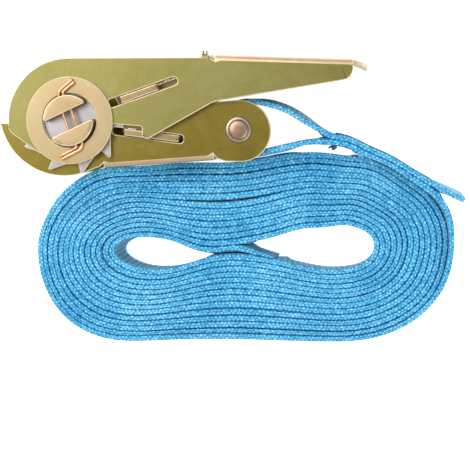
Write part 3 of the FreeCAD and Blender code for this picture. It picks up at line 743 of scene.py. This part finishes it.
def make_lock_seat(materials):
    place = along_travel(*LOCK)
    seat = Shape()
    back = LOCK_SEAT + 1.4
    plate = [(LOCK_SEAT, -4.6, 0.5), (back, -4.6, 0.5), (back, 4.6, 0.5), (LOCK_SEAT, 4.6, 0.5)]
    seat.plate(rounded(plate), [], -13.5, 13.5, 0.3, lambda x, y, z: place(x, z, y))
    add_pilot(seat, place, LOCK_TAIL + 2.4, LOCK_SEAT + 0.2)
    seat.build("lock_seat_plate", materials, "frame", "lock_spring_seat")


def make_bracket(materials):
    back = DRIVE_SEAT + 1.4
    seat = [(DRIVE_SEAT, -3.4, 0.4), (back, -3.4, 0.4), (back, 4.2, 0.4), (DRIVE_SEAT, 4.4, 1.0)]
    seat = turned(seat, *DRIVE)
    tongue = seat[:3] + [(51.6, 24.2, 0.5), (51.6, 25.6, 0.4), (50.6, 25.6, 0.4)] + seat[3:]
    bracket = Shape()
    bracket.plate(rounded(tongue), [], -7.5, 7.5, 0.25, upright)
    bar = [(51.2, 24.2, 0.3), (53.7, 24.2, 0.3), (53.7, 25.6, 0.5), (51.2, 25.6, 0.4)]
    bracket.plate(rounded(bar), [], -HANDLE_OUTSIDE, HANDLE_OUTSIDE, 0.2, upright)
    for start in (51.5, 52.8):
        prong = [(start, 25.0, 0.2), (start + 0.9, 25.0, 0.2), (start + 0.9, 26.8, 0.35),
                 (start, 26.8, 0.35)]
        for low, high in ((17.8, HANDLE_OUTSIDE), (-HANDLE_OUTSIDE, -17.8)):
            bracket.plate(rounded(prong, arc_step=0.2), [], low, high, 0.12, upright)
    add_pilot(bracket, along_travel(*DRIVE), HEEL + 2.4, DRIVE_SEAT + 0.2)
    bracket.build("drive_bracket_tongue", materials, "handle", "drive_spring_bracket")


def make_pin(pin_materials, ring_materials):
    half = FRAME_OUTSIDE + 1.35
    pin = Shape()
    profile = [(0.5, half + 0.12), (1.5, half + 0.1), (2.8, half), (3.35, half - 0.14),
               (3.68, half - 0.38), (PIN_RADIUS - 0.02, half - 0.75)]
    profile = [(r, MIDDLE + h) for r, h in profile]
    below = [(r, 2 * MIDDLE - h) for r, h in profile[::-1]]
    pin.lathe(profile + below, PIN, count=72)
    pin.build("anchor_pin_rivet", pin_materials, "frame", "anchor_pin")
    rings = Shape()
    low, high, outer, inner = FRAME_OUTSIDE, FRAME_OUTSIDE + 0.9, 5.0, PIN_RADIUS
    for side in (1, -1):
        section = [(inner, low), (inner, high - 0.12), (inner + 0.12, high), (outer - 0.5, high),
                   (outer - 0.18, high - 0.14), (outer, high - 0.45), (outer, low), (inner, low)]
        rings.lathe([(r, MIDDLE + side * h) for r, h in section], PIN, count=72)
    rings.build("anchor_pin_rings", ring_materials, "frame", "anchor_pin_washers")


def half_round(radius, flat, turn, corner):
    """D-shaped loop: a circle's part beyond a flat, with rounded corners, turned about the axle."""
    height = flat + corner
    reach = sqrt((radius - corner) ** 2 - height ** 2)
    first = atan2(height, reach)
    right = [Vector((reach + corner * cos(a), height + corner * sin(a)))
             for a in np.linspace(-pi / 2, first, 9)]
    crown = [Vector((radius * cos(a), radius * sin(a)))
             for a in np.linspace(first, pi - first, 48)[1:-1]]
    left = [Vector((-p.x, p.y)) for p in reversed(right)]
    spin = Matrix.Rotation(radians(turn), 2)
    return [spin @ p for p in right + crown + left]


def make_mandrel(materials):
    for name, turn in HALVES:
        half = Shape()
        half.plate(half_round(MANDREL_RADIUS, MANDREL_FLAT, turn, 0.9), [],
                   -MANDREL_END, MANDREL_END, 0.4, upright)
        half.build(f"mandrel_bar_{name}", materials, "mandrel", f"mandrel_half_{name}")


def make_wheels(materials):
    corners = []
    for tooth in range(TEETH):
        steep = FIRST_TOOTH + tooth * 360 / TEETH
        for radius, angle, corner in (
            (TOOTH_ROOT, steep - 10.4, 0.8), (TOOTH_ROOT, steep - 0.6, 1.0),
            (TOOTH_TIP, steep, 0.35), (TOOTH_TIP, steep + 2.7, 0.8),
        ):
            a = radians(angle)
            corners.append((radius * cos(a), radius * sin(a), corner))
    radius, flat = MANDREL_RADIUS + 0.05, MANDREL_FLAT - 0.05
    holes = [half_round(radius, flat, turn, 0.8) for _, turn in HALVES]
    for name, side in SIDES:
        wheel = Shape()
        low, high = sorted((side * WHEEL_INSIDE, side * WHEEL_OUTSIDE))
        wheel.plate(rounded(corners, spacing=1.2, arc_step=0.25), holes, low, high, 0.3, upright)
        wheel.build(f"toothed_wheel_{name}", materials, "mandrel", f"ratchet_wheel_{name}")


def make_washers(materials):
    for name, side in SIDES:
        washer = Shape()
        low, high = sorted((side * WASHER_INSIDE, side * WASHER_OUTSIDE))
        washer.plate(ring(WASHER_RADIUS, count=144), [ring(WASHER_HOLE, count=108)], low, high,
                     0.22, upright)
        washer.build(f"loose_washer_{name}", materials, f"washer_{name}", f"washer_{name}")


def bent_path(corners):
    """Open path of points through (x, y, radius) corners."""
    loop = rounded(corners, 0.4, 0.3)
    end = Vector(corners[-1][:2])
    last = min(range(len(loop)), key=lambda i: (loop[i] - end).length)
    return loop[:last + 1]


def make_cotters(material):
    """Split pins: a wire doubled on itself, spread where it goes between the mandrel's halves."""
    radius = 0.6
    path = bent_path([(1.6, 15.1, 0.0), (-3.3, 10.9, 2.0), (4.3, -10.4, 2.0), (-2.9, -14.2, 0.0)])
    for name, side in SIDES:
        legs = {1: [], -1: []}
        for i, point in enumerate(path):
            along = direction(path, i)
            middle_share = 1 - abs(2 * i / (len(path) - 1) - 1)
            spread = radius * 1.08 + 1.1 * float(ease(middle_share * 2.4 - 0.7))
            for which, leg in legs.items():
                leg.append(point + Vector((-along.y, along.x)) * spread * which)
        pin = Shape()
        for leg in legs.values():
            pin.tube([(p.x, p.y, MIDDLE + side * COTTER_HEIGHT) for p in leg], radius, 14)
        pin.build(f"split_pin_{name}", [material], "mandrel", f"cotter_pin_{name}",
                  60)


# --- webbing

STRAP_WIDTH = 25.0
STRAP_THICKNESS = 2.05
STRAP_STEP = 0.95
# Half thicknesses of the strap, and the gap that always stays between two plies.
THINNEST, THICKEST, THICKEST_AT_TOP, FREE_HALF = 0.45, 2.4, 1.3, 1.0
PLY_GAP = 0.03
# Length over which the strap comes down to the hank, and its height where it is raised.
LEAD_LENGTH = 62.0
RAISED = 8.8
HANK_LEAN = (-1.1, 1.3)
STITCH_LEVELS = (2.5, 5.5, 8.5, 11.5, 14.5, 17.5, 20.5)
LOOP_HEIGHT = MIDDLE - STRAP_WIDTH / 2
SELVEDGE_PITCH = 4.7
# Distance beyond which the next turn of the strap doesn't matter.
FAR = 5.2
PLY_COUNT = 14

# Plan position of the outermost ply's outer face and of the innermost ply's inner face, going
# clockwise from the right.
STATIONS = [
    (148.9, -43.0, 117.6, -48.0), (148.6, -55.5, 117.2, -52.3), (145.0, -67.0, 114.8, -55.4),
    (137.5, -76.5, 111.0, -57.4), (127.0, -83.2, 106.0, -58.4), (114.0, -87.1, 99.0, -58.6),
    (97.0, -88.0, 90.0, -57.2), (80.0, -87.8, 77.5, -54.1), (62.8, -87.6, 64.5, -52.3),
    (46.0, -87.9, 52.0, -53.7), (31.0, -88.4, 42.0, -57.2), (16.0, -88.6, 33.0, -58.7),
    (2.8, -85.6, 25.5, -58.2), (-7.0, -78.9, 19.5, -56.3), (-13.9, -68.7, 16.2, -54.2),
    (-17.0, -56.5, 15.1, -52.2), (-16.3, -45.5, 16.0, -49.8), (-11.3, -35.0, 19.2, -47.8),
    (-3.0, -26.3, 24.5, -46.8), (8.5, -19.5, 31.0, -47.0), (25.0, -17.85, 40.0, -48.9),
    (43.0, -16.55, 51.0, -52.9), (62.8, -16.3, 63.5, -52.0), (80.0, -13.8, 78.0, -49.0),
    (95.0, -12.5, 89.0, -45.6), (108.0, -13.9, 98.5, -42.4), (119.5, -15.9, 106.0, -41.4),
    (131.0, -23.1, 112.0, -42.6), (140.3, -30.6, 115.8, -44.8),
]
LAST_STATION = 22
INNER_END = [(70.0, -52.0), (74.0, -53.1), (78.5, -54.4)]
# Room taken by each ply, from the outermost to the innermost, at some of the stations.
ROOM_BESIDE = [2.5] * PLY_COUNT
ROOMS = [
    (0, [2.3, 2.3, 2.2, 2.2, 2.3, 2.2, 2.3, 2.2, 2.2, 2.2, 2.3, 2.2, 2.3, 2.3]),
    (8, [2.5, 2.4, 2.6, 2.5, 2.8, 2.7, 2.5, 2.5, 2.1, 2.2, 2.3, 2.2, 2.4, 3.2]),
    (15, [2.0, 2.2, 2.2, 2.1, 2.1, 2.1, 2.1, 2.4, 2.4, 2.3, 2.3, 2.6, 2.9, 3.0]),
    (20, ROOM_BESIDE),
    (LAST_STATION, [2.6, 2.6, 2.5, 2.4, 2.4, 3.7, 2.4, 2.4, 2.5, 2.5, 2.5, 2.5, 2.5, 2.4]),
    (24, ROOM_BESIDE),
]
# How far the selvedges stand apart between each ply and the next, from 0 for closed.
PARTED_BESIDE = [0.1, 0.0, 0.9, 0.1, 0.2, 0.3, 0.2, 0.6, 0.2, 0.4, 0.5, 0.2, 0.6, 0.3]
PARTINGS = [
    (0, [0.9, 0.3, 0.8, 0.1, 0.2, 0.1, 0.9, 0.1, 0.3, 0.9, 0.2, 0.8, 0.3, 0.2]),
    (8, [0.2, 0.3, 2.0, 0.2, 0.8, 0.7, 0.2, 0.3, 0.5, 0.2, 0.3, 0.2, 0.4, 0.2]),
    (15, [0.9, 0.0, 1.7, 0.1, 1.0, 0.5, 0.2, 0.9, 0.3, 0.7, 0.6, 0.7, 0.8, 0.3]),
    (20, PARTED_BESIDE),
    (LAST_STATION, [0.1, 0.0, 1.0, 0.1, 0.2, 1.0, 0.3, 0.7, 0.2, 0.4, 0.5, 0.3, 0.6, 0.3]),
    (24, PARTED_BESIDE),
]

# Centre line of the strap from its free end, round the anchor pin and back to the hank.
TAIL_AND_LOOP = [
    (152.6, -30.2), (147.2, -27.7), (142.0, -25.1), (133.6, -20.5), (124.7, -15.1),
    (115.7, -11.0), (107.2, -7.1), (101.2, -5.9), (96.5, -3.5), (91.8, -0.4), (86.0, 3.3),
    (80.0, 5.9), (74.0, 7.3), (67.5, 7.5), (61.8, 5.0), (59.6, -1.0), (60.0, -7.5),
    (63.6, -11.7), (69.6, -13.0), (76.1, -12.0), (85.4, -9.8), (93.5, -8.4), (100.3, -8.6),
    (106.3, -9.3), (114.8, -13.2), (123.7, -17.3), (132.5, -22.7), (139.3, -27.1),
]
LEAD = [(143.8, -31.4), (146.6, -36.6)]
# Points between which the sewn lap lies: on the returning strap, and on the tail.
LAP_ON_RETURN = slice(22, None)
LAP_ON_TAIL = slice(2, 8)


def between(rows, station):
    """Values for each ply at a station, from rows given at some of the stations."""
    first_row, last_row = np.array(rows[0][1]), np.array(rows[-1][1])
    if station > rows[-1][0]:
        share = (station - rows[-1][0]) / (len(STATIONS) - rows[-1][0])
        return last_row[:-1] * (1 - share) + first_row[1:] * share
    for (first, before), (last, after) in zip(rows, rows[1:]):
        if station <= last:
            break
    share = (station - first) / (last - first)
    return np.array(before) * (1 - share) + np.array(after) * share


def hank_line():
    """Points that the strap's centre line goes through as it spirals inwards."""
    points = []
    for ply in range(PLY_COUNT):
        for station, row in enumerate(STATIONS):
            if ply == PLY_COUNT - 1 and station > LAST_STATION:
                break
            outer, inner = np.array(row[:2]), np.array(row[2:])
            rooms = between(ROOMS, station)
            shares = rooms / rooms.sum()
            depth = STRAP_THICKNESS / 2 / np.linalg.norm(inner - outer)
            points.append(outer + (inner - outer) * (shares[:ply].sum() + depth))
    return points + [np.array(p) for p in INNER_END]


def parting(line, at):
    """How far the selvedges stand apart on the strap's inner side, all along the strap."""
    marks = [np.array(p) for p in hank_line()[:-len(INNER_END)]]
    values, places, start = [], [], 0
    for number, mark in enumerate(marks):
        ply, station = divmod(number, len(STATIONS))
        window = slice(start, start + 120)  # the next mark is always well within 120 steps
        start += int(np.argmin(np.linalg.norm(line[window] - mark, axis=1)))
        places.append(at[start])
        row = between(PARTINGS, station)
        values.append(row[min(ply, len(row) - 1)])
    return np.interp(at, places, values, left=0.0)


def smooth(values, width):
    """Running mean, which keeps the number of values."""
    return np.convolve(np.pad(values, width // 2, mode="edge"), np.ones(width) / width, "valid")


def neighbour_distances(line, normal, at):
    """Distance from each point of the strap to the next turn on its left and on its right."""
    same_turn = 40
    tree = kdtree.KDTree(len(line))
    for i, (x, y) in enumerate(line):
        tree.insert((x, y, 0), i)
    tree.balance()
    found = np.full((len(line), 2), FAR)
    for i, (x, y) in enumerate(line):
        for place, j, distance in tree.find_range((x, y, 0), FAR):
            if abs(at[i] - at[j]) > same_turn:
                left = (place[0] - x) * normal[i, 0] + (place[1] - y) * normal[i, 1] > 0
                side = 0 if left else 1
                found[i, side] = min(found[i, side], distance)
    return [smooth(found[:, side], 7) for side in (0, 1)]


def strap_heights(centres, at, lead_start):
    """Height of the strap's lower edge: level in the loop, down along the lead, then flat."""
    fall = ease((at - lead_start) / LEAD_LENGTH)
    rest = np.clip(0.9 + 0.8 * wander(at, 110.0, 3) + 0.25 * wander(at, 26.0, 4), 0.0, None)
    heights = LOOP_HEIGHT * (1 - fall) + rest * fall
    # The plies next to the axle ride up, clear of the handle's lower side plate as it swings.
    reach = np.linalg.norm(centres, axis=1)
    near = ease((42.0 - reach) / 16.0) * fall
    return heights + (RAISED - heights) * near


def strap_profile():
    """(share of half thickness, distance from the lower edge) round the strap's cross section."""
    end = [(0.99, 0.9), (0.86, 0.28), (0.4, 0.03), (-0.4, 0.03), (-0.86, 0.28), (-0.99, 0.9)]
    upper = [(-t, STRAP_WIDTH - w) for t, w in end]
    return (end + [(-1.0, 5.0), (-1.0, 13.0), (-0.98, 20.0)] + upper
            + [(0.98, 20.0), (1.0, 13.0), (1.0, 5.0)])


def nearest(line, at, point):
    """Distance along the strap, within its first 400 steps, of the place nearest to a point."""
    return at[np.argmin(np.linalg.norm(line[:400] - np.array(point), axis=1))]


def leaning(line, at):
    """Where the strap leans over: 1 round the anchor pin and at the free end, 0 elsewhere."""
    loop = ease((at - nearest(line, at, (99.0, -5.0))) / 12.0)
    return loop * ease((nearest(line, at, (66.5, 7.2)) - at) / 10.0) + ease((16.0 - at) / 12.0)


def set_attribute(obj, name, kind, field, values):
    attribute = obj.data.attributes.new(name, kind, "POINT")
    attribute.data.foreach_set(field, np.stack(values, 1).astype(np.float32).ravel())


def make_strap(material):
    line, at = spline(TAIL_AND_LOOP + LEAD + hank_line(), STRAP_STEP)
    lead_start = nearest(line, at, TAIL_AND_LOOP[-1]) - 8.0
    line = line + np.stack([wander(at, 23.0, 5), wander(at, 31.0, 6)], 1) * 0.08
    normal = unit_normals(line)
    distances = neighbour_distances(line, normal, at)
    parted = parting(line, at) * (0.75 + 0.45 * wander(at, 34.0, 21))
    low = strap_heights(line, at, lead_start)
    lean = 0.12 * wander(at, 45.0, 9) + 1.3 * leaning(line, at)
    wave = np.sin(tau * at / SELVEDGE_PITCH + 2 * wander(at, 150.0, 11))
    wound = ease((at - lead_start) / 40.0)
    # The end inside the hank gets thinner and a little lower.
    left = at[-1] - at
    ending = 0.35 + 0.65 * ease(left / 16.0)
    low = np.maximum(low - 0.8 * (1 - ease(left / 20.0)), 0.0)
    # A selvedge that touches the next ply is squarer than one that stands apart.
    corner = 0.3 + 0.7 * np.clip(parted, 0.0, 1.0)
    rings, places, gaps = [], [], []
    for t, w in strap_profile():
        distance = distances[0] if t > 0 else distances[1]
        free = ease((distance - 3.7) / 1.2)
        top = ease((w - 19.0) / 3.0)
        # Below, the plies fill the space to the next; at the top they leave what parts them.
        opening = (0.5 * parted if t < 0 else 0.0) + 0.10 * np.clip(wave, 0.0, 1.0)
        most = THICKEST + (THICKEST_AT_TOP - THICKEST) * top
        half = np.clip((distance - PLY_GAP - opening * top) / 2, THINNEST, most)
        half = half * (1 - free) + FREE_HALF * free
        half = half * ending if t > 0 else half
        depth = w * corner if w < 2 else STRAP_WIDTH - (STRAP_WIDTH - w) * corner if w > 23 else w
        shear = (w / STRAP_WIDTH - 1) * wound
        aside = half * t + lean * (w / STRAP_WIDTH - 0.5)
        x = line[:, 0] + normal[:, 0] * aside + HANK_LEAN[0] * shear
        y = line[:, 1] + normal[:, 1] * aside + HANK_LEAN[1] * shear
        rings.append(np.stack([x, y, low + depth], 1))
        places.append(np.stack([at, np.full(len(at), t), np.full(len(at), w)], 1))
        # These values also set how deep the painted shade between plies is.
        gaps.append(parted if t < 0 else np.full(len(at), 0.4))
    vertices = np.stack(rings, 1).reshape(-1, 3)
    strap = mesh_object("webbing_strap", vertices, tube_faces(len(at), len(rings)), [material], 60)
    set_attribute(strap, "strap_place", "FLOAT_VECTOR", "vector", places)
    set_attribute(strap, "strap_parting", "FLOAT", "value", gaps)
    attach(strap, "frame")
    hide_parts("webbing_loop", "webbing_lead", "webbing_tail", "webbing_hank")
    return strap, at[-1] * MM


def make_stitches(material):
    """Rows of thread on both faces of the sewn lap, and the loose ends where it begins.

    Draws: where each loose end starts, then which way it drifts."""
    thread = Shape()
    # The rows are real stitching. Their dark navy band along the lap also stands in for the shade
    # along the lap's -y side, so it is partly painted shade.
    for path, side in ((TAIL_AND_LOOP[LAP_ON_RETURN], -1), (TAIL_AND_LOOP[LAP_ON_TAIL][::-1], 1)):
        line, at = spline(path, 0.5)
        face = line + unit_normals(line) * 0.95 * side
        for row, level in enumerate(STITCH_LEVELS):
            for first in range(3 + row % 2 * 4, len(at) - 10, 8):
                stitch = [(*face[first + k], LOOP_HEIGHT + level) for k in range(6)]
                thread.tube(stitch, 0.34, 6)
    rng = np.random.default_rng(8)
    for _ in range(7):
        x, y, z = 100.6 + rng.uniform(0, 2.2), -9.8 + rng.uniform(-0.4, 0.2), rng.uniform(24, 35)
        drift = rng.uniform(-0.35, 0.6), rng.uniform(-0.5, -0.1)
        curl = [(x + drift[0] * k + 0.5 * sin(k * 1.3), y + drift[1] * k * 0.8,
                 z - 0.25 * k * k) for k in range(5)]
        line, _ = spline(curl, 0.3)
        thread.tube(line, 0.27, 6)
    return thread.build("lap_stitching", [material], "frame", "webbing_stitches",
                        60)


def webbing_material():
    """Blue polyester weave: beads along the selvedge, ribs across the faces."""
    p = Paint("blue_webbing_weave")
    place = p.node("Attribute", attribute_name="strap_place").outputs["Vector"]
    s, t, w = p.node("SeparateXYZ", {0: place}).outputs
    edge_gap = p.math("MINIMUM", w, p.math("SUBTRACT", STRAP_WIDTH, w))
    selvedge = p.spread(edge_gap, 0.5, 1.5, 1.0, 0.0)
    side = p.math("ABSOLUTE", t)
    row = p.times(p.math("GREATER_THAN", t, 0.0), pi)
    wobble = p.times(p.noise(230.0, 2.0), 6.5)
    bead = p.sine(p.plus(p.times_plus(s, tau / 1.6, row), wobble))
    streak_place = p.node("Mapping", {"Vector": place, "Scale": (0.62, 2.4, 1.1)}).outputs[0]
    streak = p.noise(1.0, 2.0, vector=streak_place)
    groove = p.spread(side, 0.0, 0.3, -0.30, 0.10)
    edge_height = p.plus(p.times_plus(bead, 0.34, groove), p.spread(streak, 0.3, 0.7, -0.5, 0.5))
    rib = p.sine(p.times_plus(s, tau / 2.3, p.times(w, 0.25)))
    warp = p.sine(p.times(w, tau / 1.15))
    twill = p.sine(p.plus(p.times(s, 3.3), p.times(w, 2.73)))
    face_height = p.times_plus(rib, 0.55, p.times_plus(warp, 0.25, p.times(twill, 0.3)))
    height = p.node("Mix", {0: selvedge, 2: face_height, 3: edge_height}).outputs[0]
    fine = p.noise(1700.0, 2.0)
    cloud = p.noise(38.0, 2.0)
    # Painted shade between plies: darker dots, and a darker line, where the selvedge meets the next
    # ply, deeper where the plies stand apart.
    dots = p.sine(p.times_plus(s, tau / SELVEDGE_PITCH, wobble))
    parted = p.node("Attribute", attribute_name="strap_parting").outputs["Fac"]
    painted_gap_shade = p.times(p.spread(side, 0.55, 0.95, 0.0, 1.0), selvedge)
    painted_gap_shade = p.times(painted_gap_shade, p.spread(dots, -1.0, 0.8, 0.04, 0.42))
    painted_gap_shade = p.times(painted_gap_shade, p.spread(parted, 0.0, 0.9, 0.35, 1.4))
    # Tone follows the weave's height: raised beads and ribs are painted lighter and hollows darker,
    # as painted light and shade, on top of fine random tone and clouds.
    tone = p.times_plus(height, 0.30, p.times(fine, 0.75))
    tone = p.plus(tone, p.times_plus(cloud, 0.3, -0.03))
    tone = p.math("SUBTRACT", tone, painted_gap_shade)
    edge_colour = p.ramp(tone, (0.10, (0.000, 0.080, 0.290)), (0.36, (0.030, 0.250, 0.480)),
                         (0.55, (0.085, 0.420, 0.690)), (0.75, (0.330, 0.740, 0.970)))
    # The faces are painted paler and greyer than the selvedge: painted sheen and light on walls
    # seen aslant.
    face_colour = p.ramp(tone, (0.15, (0.080, 0.210, 0.320)), (0.50, (0.200, 0.430, 0.570)),
                         (0.85, (0.330, 0.590, 0.720)))
    colour = p.mix(selvedge, face_colour, edge_colour)
    bump = p.bump(p.times_plus(fine, 0.5, height), 0.5, 0.00020)
    return p.finish(Base_Color=colour, Normal=bump, Roughness=0.78, Specular_IOR_Level=0.12)


def thread_material():
    """Twisted navy thread."""
    p = Paint("navy_thread_twist")
    twist = p.node("TexWave", {"Vector": p.place(), "Scale": 420.0, "Distortion": 3.0}).outputs[1]
    fuzz = p.noise(2600.0, 2.0)
    shade = p.times_plus(fuzz, 0.5, p.times(twist, 0.5))
    colour = p.ramp(shade, (0.2, (0.002, 0.010, 0.035)), (0.8, (0.012, 0.055, 0.130)))
    return p.finish(Base_Color=colour, Normal=p.bump(shade, 0.5, 0.0001), Roughness=0.7,
                    Sheen_Weight=0.3)


# --- stage, light and camera


def make_floor():
    p = Paint("studio_floor")
    shade = p.ramp(p.noise(6.0, 2.0), (0.3, (0.80, 0.80, 0.80)), (0.7, (0.83, 0.83, 0.83)))
    p.finish(Base_Color=shade, Roughness=0.9, Emission_Color=(1, 1, 1, 1), Emission_Strength=0.85)
    half, height = 3000.0, -0.05
    corners = [(-half, -half, height), (half, -half, height), (half, half, height),
               (-half, half, height)]
    floor = mesh_object("studio_floor", corners, [(0, 1, 2, 3)], [p.material])


def make_light(name, location, size, power):
    """Square lamp that points to the middle of the scene."""
    lamp = bpy.data.lights.new(name, "AREA")
    lamp.shape = "SQUARE"
    lamp.size = size
    lamp.energy = power
    holder = new_object(name, lamp)
    holder.visible_camera = False
    holder.location = location
    holder.rotation_euler = (-Vector(location)).to_track_quat("-Z", "Y").to_euler()


def make_world():
    world = bpy.data.worlds.new("studio")
    world.use_nodes = True
    background = world.node_tree.nodes["Background"]
    background.inputs["Color"].default_value = (1.0, 1.0, 1.0, 1)
    background.inputs["Strength"].default_value = 0.75
    bpy.context.scene.world = world


def make_camera():
    lens = bpy.data.cameras.new("camera")
    lens.sensor_width = 36.0
    lens.lens = 102.2
    lens.clip_start = 0.01
    holder = new_object("camera", lens)
    location = Vector((40.38, 31.15, 555.0)) * MM
    target = Vector((0.38, -14.85, 25.0)) * MM
    forward = (target - location).normalized()
    side = forward.cross(Vector((0, 1, 0))).normalized()
    up = side.cross(forward)
    turn = Matrix((side, up, -forward)).transposed().to_4x4()
    holder.matrix_world = Matrix.Translation(location) @ turn
    bpy.context.scene.camera = holder


def make_metalwork():
    finish = make_finishes()
    edge = finish["edge"]
    make_frame([finish["frame"], edge, finish["bend"]])
    make_handle([finish["handle"], edge, finish["bend"]])
    make_pawls([finish["pawl"], edge])
    make_springs(finish["spring"])
    make_lock_seat([finish["frame"], edge])
    make_bracket([finish["handle"], edge])
    make_pin([finish["copper"]], [finish["ring"]])
    make_mandrel([finish["mandrel"], edge])
    make_wheels([finish["wheel"], edge])
    make_washers([finish["washer"], edge])
    make_cotters(finish["cotter"])


blue = webbing_material()
strap, strap_length = make_strap(blue)
stitches = make_stitches(thread_material())
make_metalwork()
make_floor()
make_world()
make_light("key_light", (-0.5, 0.45, 0.95), 0.9, 9.0)
make_light("fill_light", (0.7, -0.5, 0.8), 0.9, 4.0)
make_camera()
bpy.context.scene.view_settings.view_transform = "Standard"
